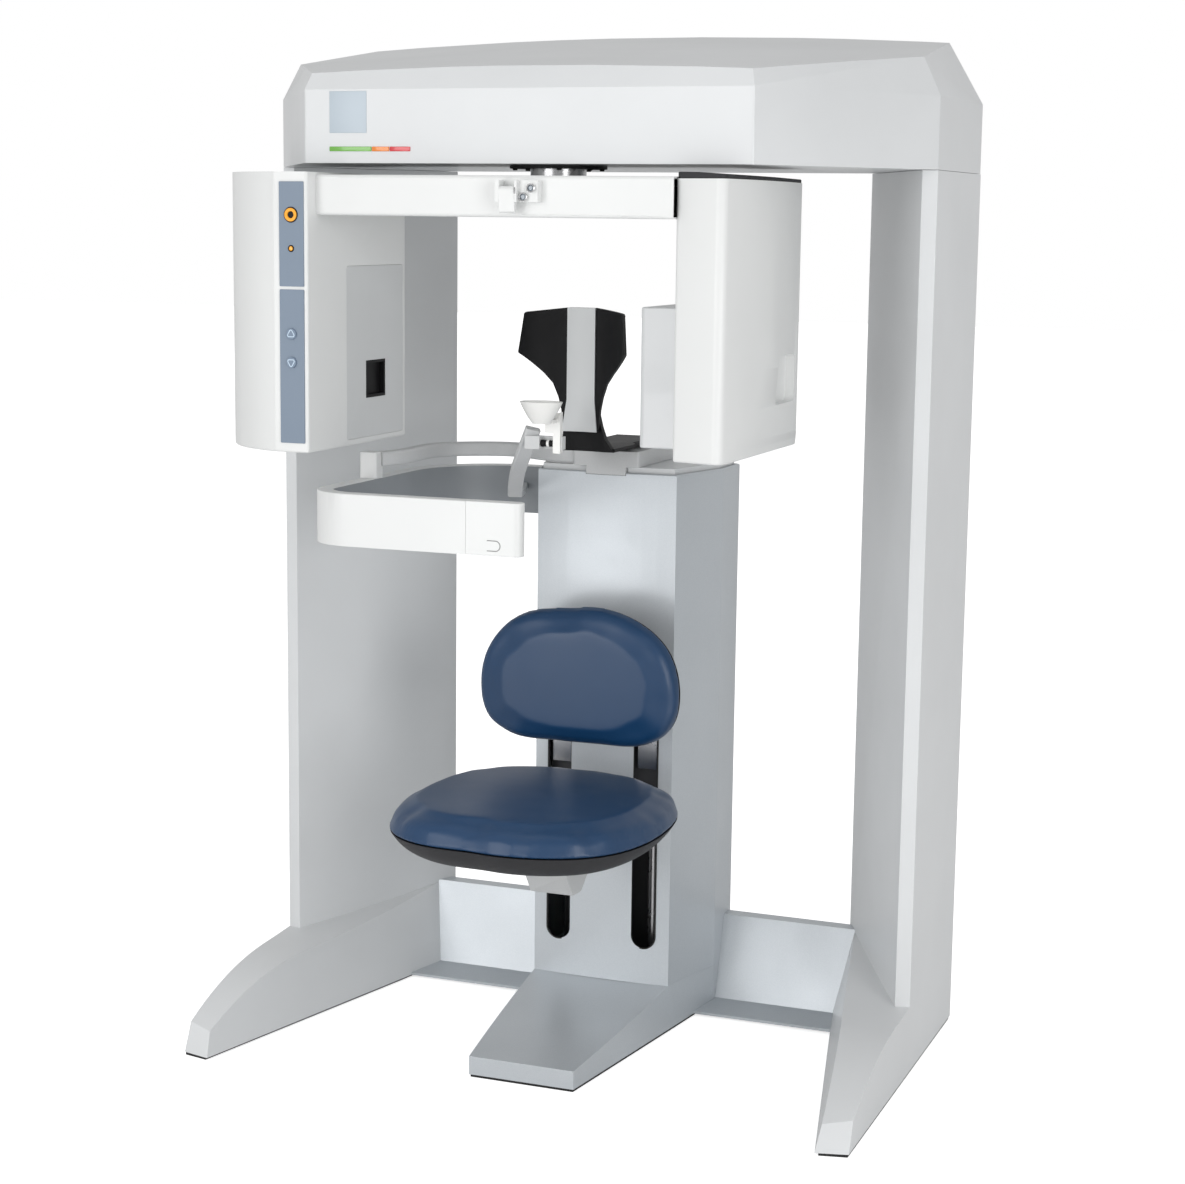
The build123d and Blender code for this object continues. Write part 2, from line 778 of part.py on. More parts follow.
with BuildPart() as gantry_spindle:
    with BuildSketch(Plane.XY.offset(arm_top)):
        Circle(spindle_radius)
    extrude(amount=wheel_levels[1] + 5 - arm_top)
    with BuildSketch(Plane.XY.offset(arm_top - 14)):
        Circle(spindle_radius - 7)
    extrude(amount=14)
    chamfer(gantry_spindle.edges().group_by(Axis.Z)[-1], 2)

with BuildPart() as drive_wheel:
    with BuildSketch(Plane.XY.offset(wheel_levels[0])):
        Circle(wheel_radius)
        Circle(spindle_radius, mode=Mode.SUBTRACT)
        with PolarLocations(100, 6):
            Circle(28, mode=Mode.SUBTRACT)
    extrude(amount=wheel_levels[1] - wheel_levels[0])


def belt_loop(grow):
    """Plan of the loop round the wheel and the pulley, grown off both by the given gap."""
    with BuildSketch(Plane.XY.offset(belt_levels[0])) as loop:
        Circle(wheel_radius + grow)
        with Locations((-pulley_offset, 0)):
            Circle(pulley_radius + grow)
        make_hull()
    return loop.sketch


with BuildPart() as drive_belt:
    add(belt_loop(belt_gap + belt_thickness))
    extrude(amount=belt_levels[1] - belt_levels[0])
    add(belt_loop(belt_gap))
    extrude(amount=belt_levels[1] - belt_levels[0], mode=Mode.SUBTRACT)

with BuildPart() as drive_motor:
    with BuildSketch(Plane.XY.offset(beam_frame_bottom - 5)):
        with Locations((-pulley_offset, 0)):
            Circle(40)
    extrude(amount=bearing_plate[0] - beam_frame_bottom + 5)
    with BuildSketch(Plane.XY.offset(bearing_plate[0])):
        with Locations((-pulley_offset, 0)):
            Circle(11.5)
    extrude(amount=bearing_plate[1] - bearing_plate[0] + 2)
    with BuildSketch(Plane.XY.offset(motor_bore_bottom)):
        with Locations((-pulley_offset, 0)):
            Circle(shaft_radius + running_clearance)
    extrude(amount=80, mode=Mode.SUBTRACT)

with BuildPart() as motor_pulley:
    with BuildSketch(Plane.XY.offset(motor_bore_bottom + 2)):
        with Locations((-pulley_offset, 0)):
            Circle(shaft_radius)
    extrude(amount=wheel_levels[1] + 5 - motor_bore_bottom)
    with BuildSketch(Plane.XY.offset(wheel_levels[0])):
        with Locations((-pulley_offset, 0)):
            Circle(pulley_radius)
    extrude(amount=wheel_levels[1] - wheel_levels[0])
    for low in (wheel_levels[0] - 1.5, wheel_levels[1]):
        with BuildSketch(Plane.XY.offset(low)):
            with Locations((-pulley_offset, 0)):
                Circle(pulley_radius + 3)
        extrude(amount=1.5)

with BuildPart() as status_light_bar:
    with BuildSketch(y_plane(beam_front)):
        with Locations((-271, beam_underside + 23)):
            SlotOverall(148, 10)
    extrude(amount=2)

# ---------------------------------------------------------------- C-arm
source_plan_points = ((-562, -40), (-560, 90), (-470, 185), (-400, 185), (source_face, 119))
strip_left = -404.0
with BuildSketch() as source_plan:
    with BuildLine():
        ThreePointArc((strip_left, source_front), (-520, -178), source_plan_points[0])
        Polyline(
            *source_plan_points,
            (source_face, source_front),
            (strip_left, source_front),
        )
    make_face()
    for corner, radius in (
        ((-560, 90), 60), ((-470, 185), 30), ((-400, 185), 25), ((source_face, 119), 14),
        ((source_face, source_front), 5), ((strip_left, source_front), 5),
    ):
        fillet(source_plan.vertices().sort_by_distance(corner)[0], radius)

with BuildSketch() as detector_plan:
    with BuildLine():
        Polyline(
            (detector_face, -208),
            (369, -231),
            (392, -35),
            (376, 176),
            (330, 190),
            (detector_face, 150),
            close=True,
        )
    make_face()
    for corner, radius in (
        ((detector_face, -208), 8), ((369, -231), 15), ((392, -35), 200), ((376, 176), 15),
        ((330, 190), 15), ((detector_face, 150), 12),
    ):
        fillet(detector_plan.vertices().sort_by_distance(corner)[0], radius)

source_bulge = (-552.0, -562.0, -556.0)
detector_bulge = (373.0, 392.0, 384.0)
source_side = (source_plan.sketch, source_face, -1, source_bottom, source_top, source_bulge)
cap_level = 1545.0
detector_side = (detector_plan.sketch, detector_face, 1, detector_bottom, cap_level, detector_bulge)

window = (-1.5, 221.0, 1248.5, 297.0)    # centre y, width, centre z, height
aperture = (0.5, 77.0, 1200.5, 65.0)
with BuildPart() as source_housing:
    add(hung_housing(*source_side, 0))
    fillet(source_housing.edges().group_by(Axis.Z)[0], 4)
    add(hung_housing(*source_side, housing_wall), mode=Mode.SUBTRACT)
    with BuildSketch(Plane.YZ.offset(source_face - 10)):
        with Locations((window[0], window[2])):
            RectangleRounded(window[1], window[3], 6)
    extrude(amount=20, mode=Mode.SUBTRACT)
    with BuildSketch(y_plane(source_front + 10)):
        with Locations((lamp_x, up_height), (lamp_x, down_height)):
            Circle(button_radius + running_clearance)
    extrude(amount=20, mode=Mode.SUBTRACT)

with BuildPart() as beam_window_panel:
    with BuildSketch(Plane.YZ.offset(source_face - housing_wall)):
        with Locations((window[0], window[2])):
            RectangleRounded(window[1] - 0.6, window[3] - 0.6, 6)
    extrude(amount=housing_wall)
    with BuildSketch(Plane.YZ.offset(source_face - housing_wall - 2)):
        with Locations((window[0], window[2])):
            RectangleRounded(window[1] + 5, window[3] + 5, 6)
    extrude(amount=2)
    with BuildSketch(Plane.YZ.offset(source_face - 10)):
        with Locations((aperture[0], aperture[2])):
            Rectangle(aperture[1], aperture[3])
    extrude(amount=20, mode=Mode.SUBTRACT)

tube_head_front = -366.0
with BuildPart() as beam_aperture:
    with BuildSketch(Plane.YZ.offset(tube_head_front)):
        with Locations((aperture[0], aperture[2])):
            Rectangle(aperture[1], aperture[3])
    extrude(amount=source_face - 1 - tube_head_front)
    with BuildSketch(Plane.YZ.offset(source_face - 10)):
        with Locations((aperture[0], aperture[2])):
            Rectangle(aperture[1] - 10, aperture[3] - 10)
    extrude(amount=20, mode=Mode.SUBTRACT)

with BuildPart() as xray_tube_head:
    with BuildSketch(Plane.XY.offset(1120)):
        with Locations((tube_head_front - 70, 0)):
            RectangleRounded(140, 170, 16)
    extrude(amount=200)
    with BuildSketch(Plane.XY.offset(1320)):
        with Locations((tube_head_front - 20, 0)):
            Rectangle(12, 120)
    extrude(amount=source_top - housing_wall - 1320)

with BuildPart() as control_panels:
    panel_middle = (panel_left + panel_right) / 2
    for bottom, top in (upper_panel, lower_panel):
        with BuildSketch(y_plane(source_front)):
            with Locations((panel_middle, (bottom + top) / 2)):
                RectangleRounded(panel_right - panel_left, top - bottom, 1.5)
        extrude(amount=panel_thickness)
    with BuildSketch(y_plane(source_front + 5)):
        with Locations((lamp_x, up_height), (lamp_x, down_height)):
            Circle(button_radius + running_clearance)
    extrude(amount=20, mode=Mode.SUBTRACT)

with BuildPart() as warning_lamps:
    for height, radius in ((lamp_height, 12.0), (ready_height, 5.0)):
        with BuildSketch(y_plane(source_front - panel_thickness)):
            with Locations((lamp_x, height)):
                Circle(radius)
        extrude(amount=2.5)
    fillet(warning_lamps.edges().group_by(Axis.Y)[0], 1)


def push_button(height):
    """Round button standing proud of the panel, guided by the wall."""
    with BuildPart() as button:
        with BuildSketch(y_plane(source_front + housing_wall)):
            with Locations((lamp_x, height)):
                Circle(button_radius)
        extrude(amount=housing_wall + panel_thickness + 3)
        chamfer(button.edges().group_by(Axis.Y)[0], 0.6)
    return button.part


with BuildPart() as up_button:
    add(push_button(up_height))

with BuildPart() as down_button:
    add(push_button(down_height))

grip = (15.0, 140.0, 1180.0, 1260.0)
grip_depth = 22.0
with BuildPart() as detector_housing:
    add(hung_housing(*detector_side, 0))
    fillet(detector_housing.edges().group_by(Axis.Z)[0], 4)
    add(hung_housing(*detector_side, housing_wall), mode=Mode.SUBTRACT)
    with BuildPart(mode=Mode.PRIVATE) as grip_cup:
        with BuildSketch(Plane.YZ.offset(392 - grip_depth - 10)):
            with Locations(((grip[0] + grip[1]) / 2, (grip[2] + grip[3]) / 2)):
                RectangleRounded(grip[1] - grip[0] + 6, grip[3] - grip[2] + 6, 14)
        extrude(amount=60)
        add(hung_housing(*detector_side, 0), mode=Mode.INTERSECT)
    add(grip_cup.part)
    with BuildSketch(Plane.YZ.offset(392 - grip_depth - 7)):
        with Locations(((grip[0] + grip[1]) / 2, (grip[2] + grip[3]) / 2)):
            RectangleRounded(grip[1] - grip[0], grip[3] - grip[2], 11)
    extrude(amount=80, mode=Mode.SUBTRACT)

with BuildPart() as detector_top_cap:
    with BuildSketch(Plane.XY.offset(cap_level)):
        add(detector_plan.sketch)
        offset(amount=-1.5, mode=Mode.REPLACE)
    extrude(amount=30)
    with BuildSketch(y_plane(300)):
        with BuildLine():
            Polyline(
                (detector_face - 20, cap_level),
                (detector_face - 20, 1556),
                (detector_face + 40, 1555),
                (384, 1550),
                (384, cap_level),
                close=True,
            )
        make_face()
    extrude(amount=600, mode=Mode.INTERSECT)

with BuildPart() as detector_module:
    with BuildSketch(Plane.XY.offset(module_bottom)):
        with Locations(((module_face + detector_face) / 2, 0)):
            Rectangle(detector_face - module_face, 2 * module_half_width)
    extrude(amount=module_top - module_bottom)
    fillet(detector_module.edges().filter_by(Axis.Z).group_by(Axis.X)[0], 10)
    fillet(detector_module.faces().sort_by(Axis.X)[0].edges(), 3)
    with BuildSketch(Plane.XY.offset(module_bottom + 3)):
        with Locations(((module_face + detector_face) / 2 + 5, 0)):
            Rectangle(detector_face - module_face, 2 * module_half_width - 6)
    extrude(amount=module_top - module_bottom - 6, mode=Mode.SUBTRACT)


def arm_outline(inset=0.0):
    """Plan of the arm between the faces of the two housings."""
    with BuildSketch() as plan:
        with BuildLine():
            front = ThreePointArc(
                (source_face, arm_front + inset),
                ((source_face + detector_face) / 2, arm_front - arm_bow + inset),
                (detector_face, arm_front + inset),
            )
            back = Line((detector_face, arm_back - inset), (source_face, arm_back - inset))
            Line(front @ 1, back @ 0)
            Line(back @ 1, front @ 0)
        make_face()
    return plan.sketch


with BuildPart() as arm_cover:
    with BuildSketch(Plane.XY.offset(arm_underside)):
        add(arm_outline())
    extrude(amount=arm_top - arm_underside)
    fillet(arm_cover.faces().sort_by(Axis.Y)[0].edges().filter_by(GeomType.CIRCLE), 6)
    with BuildSketch(Plane.XY.offset(arm_underside + arm_wall)):
        add(arm_outline(arm_wall))
    extrude(amount=arm_top - arm_underside - 2 * arm_wall, mode=Mode.SUBTRACT)
    with BuildSketch(Plane.XY.offset(arm_top - 10)):
        Circle(spindle_radius - 6)
    extrude(amount=20, mode=Mode.SUBTRACT)

with BuildPart() as arm_frame:
    with BuildSketch(Plane.YZ.offset(source_face)):
        with Locations((0, arm_underside + arm_wall + 24.5)):
            Rectangle(150, 49)
            Rectangle(142, 41, mode=Mode.SUBTRACT)
    extrude(amount=detector_face - source_face)

light_pivot = (-256.0, 1524.0)
light_span = (4.0, 30.0)
with BuildPart() as light_mount:
    with BuildSketch(Plane.XY.offset(1506)):
        with BuildLine():
            Polyline((-3, -262), (-3, -228), (66, -228), (66, -252), (34, -252), (34, -262), close=True)
        make_face()
    extrude(amount=34)
    add(extrude(arm_outline(), amount=1600, mode=Mode.PRIVATE), mode=Mode.SUBTRACT)
    with BuildSketch(Plane.XY.offset(1500)):
        with Locations(((light_span[0] + light_span[1]) / 2, -260)):
            Rectangle(light_span[1] - light_span[0] + 0.4, 40)
    extrude(amount=60, mode=Mode.SUBTRACT)
    with BuildSketch(Plane.YZ.offset(-2)):
        with Locations(light_pivot):
            Circle(2.5)
    extrude(amount=35)
    with BuildSketch(y_plane(-250)):
        with Locations((43, 1514)):
            Circle(6)
        with Locations((56, 1528)):
            Circle(6.5)
    extrude(amount=5)

with BuildPart() as alignment_light:
    with BuildSketch(Plane.YZ.offset(light_span[0])):
        with Locations(light_pivot):
            Circle(7)
        with Locations((light_pivot[0] - 1, light_pivot[1] - 31)):
            Circle(4)
        make_hull()
        with Locations(light_pivot):
            Circle(2.5 + running_clearance, mode=Mode.SUBTRACT)
    extrude(amount=light_span[1] - light_span[0])

# ---------------------------------------------------------------- patient support
with BuildPart() as column_block:
    with BuildSketch():
        add(column_outline())
    extrude(amount=cap_top)


def bar_outline(inset, end):
    """Plan of the horseshoe bar from its free end round to the column."""
    front = bar_front + inset
    left = bar_left + inset
    rear = 376 - inset
    depth = bar_thickness - 2 * inset
    with BuildSketch() as plan:
        with BuildLine():
            Polyline(
                (end, front),
                (left, front),
                (left, rear),
                (-120, rear),
                (-120, rear - depth),
                (left + depth, rear - depth),
                (left + depth, front + depth),
                (end, front + depth),
                close=True,
            )
        make_face()
        for corner, radius in (
            ((left, front), 88 - inset),
            ((left + depth, front + depth), 60 + inset),
            ((left, rear), 190 - inset),
            ((left + depth, rear - depth), 162 + inset),
        ):
            fillet(plan.vertices().sort_by_distance(corner)[0], radius)
    return plan.sketch


with BuildPart() as support_bar:
    with BuildSketch(Plane.XY.offset(bar_bottom)):
        add(bar_outline(0, bar_end - bar_cap_length))
    extrude(amount=bar_top - bar_bottom)
    fillet(support_bar.edges().group_by(Axis.Z)[-1].filter_by(GeomType.LINE).filter_by(Axis.X), 2)
    with BuildSketch(Plane.XY.offset(bar_bottom + 3)):
        add(bar_outline(3, bar_end - bar_cap_length))
    extrude(amount=bar_top - bar_bottom - 6, mode=Mode.SUBTRACT)
    add(column_block.part, mode=Mode.SUBTRACT)

with BuildPart() as bar_end_cap:
    with BuildSketch(Plane.XY.offset(bar_bottom)):
        with Locations((bar_end - bar_cap_length / 2, bar_front + bar_thickness / 2)):
            Rectangle(bar_cap_length, bar_thickness)
    extrude(amount=bar_top - bar_bottom)
    fillet(bar_end_cap.edges().filter_by(Axis.Z).group_by(Axis.X)[-1], 12)
    with BuildSketch(Plane.XY.offset(bar_bottom + 3)):
        with Locations((bar_end - bar_cap_length + 38, bar_front + bar_thickness / 2)):
            Rectangle(76, bar_thickness - 6)
    extrude(amount=bar_top - bar_bottom - 6, mode=Mode.SUBTRACT)

post_spot = (-363.5, 25.0)
with BuildPart() as rail_end_post:
    with BuildSketch(Plane.XY.offset(bar_top)):
        with Locations(post_spot):
            RectangleRounded(33, 30, 5)
    extrude(amount=rail_top - bar_top)

with BuildPart() as head_block:
    with BuildSketch(Plane.XY.offset(cap_top)):
        with Locations((0, (block_front + block_back) / 2)):
            RectangleRounded(2 * block_half_width, block_back - block_front, 5)
    extrude(amount=block_height)
    with BuildSketch(Plane.XY.offset(cap_bottom)):
        with Locations((0, block_front + tab_depth / 2)):
            Rectangle(2 * tab_half_width, tab_depth)
    extrude(amount=cap_top - cap_bottom)
    with BuildSketch(Plane.XY.offset(rail_top - 10)):
        with Locations((0, 358)):
            Rectangle(30 + 2 * running_clearance, 200)
    extrude(amount=20, mode=Mode.SUBTRACT)

rail_centre = rail_top - rail_height / 2
with BuildPart() as grab_rail:
    with BuildLine(Plane.XY.offset(rail_centre)) as rail_path:
        Spline(
            (-55, 262), (-140, 274), (-205, 305), (-275, 285), (-324, 238), (-334, 90), (-352, 34),
        )
    with BuildSketch(Plane(origin=rail_path.line @ 0, z_dir=rail_path.line % 0, x_dir=(0, 0, 1))):
        RectangleRounded(rail_height, rail_width, 5)
    sweep(path=rail_path.line)
    add(rail_end_post.part, mode=Mode.SUBTRACT)
    add(head_block.part, mode=Mode.SUBTRACT)

strap_half_width = 26.0
wing_centre = 4.7               # y of the axis round which the headrest curves
wing_front = 113.3              # radius of its front
wing_thickness = 9.0
strap_thickness = 3.0
strap_levels = (1112.0, 1328.0)
bracket_foot = (1077.0, 1083.0)
bracket_width = 70.0
wing_half = (
    (0, 1328), (26, 1328), (91, 1320), (98, 1250), (64, 1214), (50, 1196), (41, 1172), (36, 1150), (33, 1112),
    (0, 1112),
)


def curved_sheet(front, back, bottom, top):
    """Upright sheet bent round the head, between two radii."""
    with BuildPart() as sheet:
        with BuildSketch(Plane.XY.offset(bottom)):
            with Locations((0, wing_centre)):
                Circle(back)
                Circle(front, mode=Mode.SUBTRACT)
            with Locations((0, -200)):
                Rectangle(600, 400, mode=Mode.SUBTRACT)
        extrude(amount=top - bottom)
    return sheet.part


with BuildPart() as headrest_wings:
    with BuildSketch(y_plane(200)):
        with BuildLine():
            Polyline(*wing_half, *[(-x, z) for x, z in reversed(wing_half[1:-1])], close=True)
        make_face()
        fillet(vertices(), 5)
    extrude(amount=200)
    add(curved_sheet(wing_front, wing_front + wing_thickness, 1100, 1340), mode=Mode.INTERSECT)

with BuildPart() as headrest_strap:
    with BuildSketch(y_plane(200)):
        with BuildLine():
            Polyline(
                (-strap_half_width, strap_levels[1]),
                (strap_half_width, strap_levels[1]),
                (strap_half_width, 1168),
                (strap_half_width + 5, strap_levels[0]),
                (-strap_half_width - 8, strap_levels[0]),
                (-strap_half_width, 1168),
                close=True,
            )
        make_face()
    extrude(amount=200)
    add(curved_sheet(wing_front - strap_thickness, wing_front, 1100, 1340), mode=Mode.INTERSECT)

# the upright's right side flares out into the wide foot
upright_outline = (
    (-38, bracket_foot[0]), (-36, 1112), (-24, 1160), (-24, 1300), (24, 1300), (26, 1160), (36, 1120),
    (44, 1098), (60, bracket_foot[0]),
)
foot_outline = ((-38, 126), (60, 126), (60, 232), (44, 262), (44, 400), (-38, 400))
with BuildPart() as headrest_bracket:
    with BuildSketch(y_plane(134)):
        with BuildLine():
            Polyline(*upright_outline, close=True)
        make_face()
    extrude(amount=14)
    with BuildSketch(Plane.XY.offset(1050)):
        with Locations((0, wing_centre)):
            Circle(wing_front + wing_thickness)
    extrude(amount=300, mode=Mode.SUBTRACT)
    with BuildSketch(Plane.XY.offset(bracket_foot[0])):
        with BuildLine():
            Polyline(*foot_outline, close=True)
        make_face()
    extrude(amount=bracket_foot[1] - bracket_foot[0])
    with BuildSketch(Plane.XY.offset(rail_top)):
        with Locations((0, 335)):
            Rectangle(60, 130)
    extrude(amount=bracket_foot[0] - rail_top)
    with BuildSketch(Plane.XY.offset(rail_top - 8)):
        with Locations((0, 345)):
            Rectangle(30, 110)
    extrude(amount=8)

cup_bottom = 1140.0
cup_rim_size = (37.5, 30.0)
cup_foot_size = (15.0, 13.0)
stem_depth = (-42.0, -30.0)
stem_right = 24.0
stem_step = 1122.0              # above it the stem is wide, below it leaves room for the clamp
stem_bottom = 1088.0
guide_levels = (1094.0, 1116.0)
clamp_spot = (-36.0, 1104.0)    # y and z of the clamp screw's axis
clamp_shaft_radius = 2.5
arm_side = -13.0                # x of the bracket's face that the clamp sits against

with BuildPart() as chin_cup:
    for level, size in ((cup_bottom, cup_foot_size), (cup_bottom + 17, (27, 22)), (chin_rim, cup_rim_size)):
        with BuildSketch(Plane.XY.offset(level)):
            with Locations((0, chin_y)):
                Ellipse(*size)
    loft()
    for level, size in ((cup_bottom + 5, (9, 8)), (cup_bottom + 19, (24, 19)), (chin_rim + 1, (34.5, 27))):
        with BuildSketch(Plane.XY.offset(level)):
            with Locations((0, chin_y)):
                Ellipse(*size)
    loft(mode=Mode.SUBTRACT)
    with BuildSketch(y_plane(stem_depth[1])):
        with BuildLine():
            Polyline(
                (stem_right, stem_bottom),
                (stem_right, 1158),
                (-4, 1150),
                (-4, stem_step),
                (11, stem_step),
                (11, stem_bottom),
                close=True,
            )
        make_face()
    extrude(amount=stem_depth[1] - stem_depth[0])
    with BuildSketch(Plane.XY.offset(cup_bottom)):
        with Locations((8, -50)):
            Rectangle(20, 24)
    extrude(amount=6)

with BuildPart() as chin_bracket:
    with BuildLine() as chin_path:
        Spline(
            (-215, 358, 982), (-190, 290, 982), (-165, 215, 984), (-126, 120, 1004), (-82, 30, 1050),
            (-47, -20, 1094), (-28, -35, 1128),
        )
    with BuildSketch(Plane(origin=chin_path.line @ 0, z_dir=chin_path.line % 0, x_dir=(1, 0, 0))):
        RectangleRounded(26, 13, 3)
    sweep(path=chin_path.line)
    with BuildSketch(Plane.XY.offset(guide_levels[0])):
        with BuildLine():
            Polyline(
                (-40, -24),
                (-40, -44),
                (arm_side, -44),
                (arm_side, stem_depth[1] + running_clearance),
                (stem_right + running_clearance, stem_depth[1] + running_clearance),
                (stem_right + running_clearance, stem_depth[0] + 3),
                (stem_right + 3, stem_depth[0] + 3),
                (stem_right + 3, -24),
                close=True,
            )
        make_face()
    extrude(amount=guide_levels[1] - guide_levels[0])
    with BuildSketch(Plane.YZ.offset(arm_side - 14)):
        with Locations(clamp_spot):
            Circle(clamp_shaft_radius + running_clearance)
    extrude(amount=30, mode=Mode.SUBTRACT)
    with BuildSketch(Plane.XY.offset(bar_bottom)):
        add(bar_outline(0, bar_end))
    extrude(amount=bar_top - bar_bottom, mode=Mode.SUBTRACT)

# start, length and radius of the clamp's knob, sleeve and pad along its axis
clamp_discs = ((0.5, 8.0, 5.4), (8.5, 7.0, 3.5), (11.0, 6.0, 5.8), (17.0, 6.5, 5.2))
with BuildPart() as chin_knob:
    with BuildSketch(Plane.YZ.offset(arm_side - 12)):
        with Locations(clamp_spot):
            Circle(clamp_shaft_radius)
    extrude(amount=35)
    for start, length, radius in clamp_discs:
        with BuildSketch(Plane.YZ.offset(arm_side + start)):
            with Locations(clamp_spot):
                Circle(radius)
        extrude(amount=length)

# ---------------------------------------------------------------- export
nodes = {
    "beam_cover": beam_cover,
    "beam_floor_panel": beam_floor_panel,
    "beam_frame": beam_frame,
    "right_leg_cover": right_leg_cover,
    "left_leg_cover": left_leg_cover,
    "leg_posts": leg_posts,
    "rear_panels": rear_panels,
    "base_frame": base_frame,
    "floor_pads": floor_pads,
    "centre_foot": centre_foot,
    "cross_plates": cross_plates,
    "column_cover": column_cover,
    "column_top_cap": column_top_cap,
    "column_frame": column_frame,
    "guide_rods": guide_rods,
    "lift_actuator_tube": lift_actuator_tube,
    "actuator_rod": actuator_rod,
    "power_supply": power_supply,
    "power_inlet": power_inlet,
    "seat_carriage": seat_carriage,
    "seat_frame": seat_frame,
    "seat_pan": seat_pan,
    "seat_cushion": seat_cushion,
    "backrest_frame": backrest_frame,
    "backrest_shell": backrest_shell,
    "backrest_cushion": backrest_cushion,
    "gantry_bearing": gantry_bearing,
    "gantry_spindle": gantry_spindle,
    "drive_wheel": drive_wheel,
    "drive_belt": drive_belt,
    "drive_motor": drive_motor,
    "motor_pulley": motor_pulley,
    "status_light_bar": status_light_bar,
    "arm_frame": arm_frame,
    "arm_cover": arm_cover,
    "source_housing": source_housing,
    "beam_window_panel": beam_window_panel,
    "beam_aperture": beam_aperture,
    "xray_tube_head": xray_tube_head,
    "control_panels": control_panels,
    "warning_lamps": warning_lamps,
    "up_button": up_button,
    "down_button": down_button,
    "detector_housing": detector_housing,
    "detector_top_cap": detector_top_cap,
    "detector_module": detector_module,
    "light_mount": light_mount,
    "alignment_light": alignment_light,
    "support_bar": support_bar,
    "bar_end_cap": bar_end_cap,
    "rail_end_post": rail_end_post,
    "grab_rail": grab_rail,
    "head_block": head_block,
    "headrest_bracket": headrest_bracket,
    "headrest_wings": headrest_wings,
    "headrest_strap": headrest_strap,
    "chin_bracket": chin_bracket,
    "chin_cup": chin_cup,
    "chin_knob": chin_knob,
}
os.makedirs("parts", exist_ok=True)
for name, node in nodes.items():
    node.part.label = name
    export_step(node.part, f"parts/{name}.step")
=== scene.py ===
# %% [markdown]
# # A seated panoramic X-ray machine
# The machine is a portal of sheet-metal covers with a C-arm hanging from its beam, and a column
# that lifts an upholstered seat. The engineering model already holds every shape that has to fit
# or move, so this notebook loads it as a fixed frame. It then softens the edges of the covers,
# stuffs the two cushions, adds the small fittings, and gives each surface its finish.

# %% Load the frame
import json
import math

import bmesh
import bpy
import numpy as np
from mathutils import Matrix, Vector


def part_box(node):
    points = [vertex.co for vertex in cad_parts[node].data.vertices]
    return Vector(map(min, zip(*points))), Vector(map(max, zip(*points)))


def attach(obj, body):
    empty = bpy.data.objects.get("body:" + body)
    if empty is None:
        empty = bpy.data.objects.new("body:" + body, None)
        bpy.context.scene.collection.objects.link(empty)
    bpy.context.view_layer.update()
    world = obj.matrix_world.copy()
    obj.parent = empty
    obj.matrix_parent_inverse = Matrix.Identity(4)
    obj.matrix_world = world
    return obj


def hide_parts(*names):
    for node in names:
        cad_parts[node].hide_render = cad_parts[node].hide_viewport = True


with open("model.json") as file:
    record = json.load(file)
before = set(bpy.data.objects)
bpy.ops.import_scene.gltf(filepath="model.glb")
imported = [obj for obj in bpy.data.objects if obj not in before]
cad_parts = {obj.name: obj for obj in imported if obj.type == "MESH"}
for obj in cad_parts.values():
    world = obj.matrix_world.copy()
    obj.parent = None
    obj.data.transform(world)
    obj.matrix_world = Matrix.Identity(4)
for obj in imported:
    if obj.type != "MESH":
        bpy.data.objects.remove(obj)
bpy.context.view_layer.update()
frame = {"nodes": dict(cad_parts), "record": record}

scene = bpy.context.scene
nodes = frame["nodes"]
body_of_node = {n: b for b, names in frame["record"]["behaviour"]["bodies"].items() for n in names}
slot_of_node = {row["node"]: row["material_slot"] for row in frame["record"]["subparts"]}

# %% [markdown]
# ## Shared effects
# Paint, plastic and vinyl are never one flat colour. Five small node groups carry what they have
# in common: a slow drift of tone over a big panel, a roughness that hands and cloths have changed,
# a fine relief, the pebbles of vinyl and the flakes of metallic paint. Each material places the
# groups it needs with its own values, so an effect is drawn once and used many times.


# %% A helper that starts a node group with named sockets
def start_group(name, inputs, outputs):
    group = bpy.data.node_groups.new(name, "ShaderNodeTree")
    for label, kind, value in inputs:
        socket = group.interface.new_socket(label, in_out="INPUT", socket_type=kind)
        socket.default_value = value
    for label, kind in outputs:
        group.interface.new_socket(label, in_out="OUTPUT", socket_type=kind)
    way_in = group.nodes.new("NodeGroupInput")
    way_out = group.nodes.new("NodeGroupOutput")
    return group, way_in, way_out


def object_noise(group, scale_from, detail=4.0, squash=(1, 1, 1)):
    """Noise on object coordinates, which stays put on the piece."""
    place = group.nodes.new("ShaderNodeTexCoord")
    stretch = group.nodes.new("ShaderNodeMapping")
    stretch.inputs["Scale"].default_value = squash
    noise = group.nodes.new("ShaderNodeTexNoise")
    noise.inputs["Detail"].default_value = detail
    group.links.new(place.outputs["Object"], stretch.inputs["Vector"])
    group.links.new(stretch.outputs["Vector"], noise.inputs["Vector"])
    group.links.new(scale_from, noise.inputs["Scale"])
    return noise


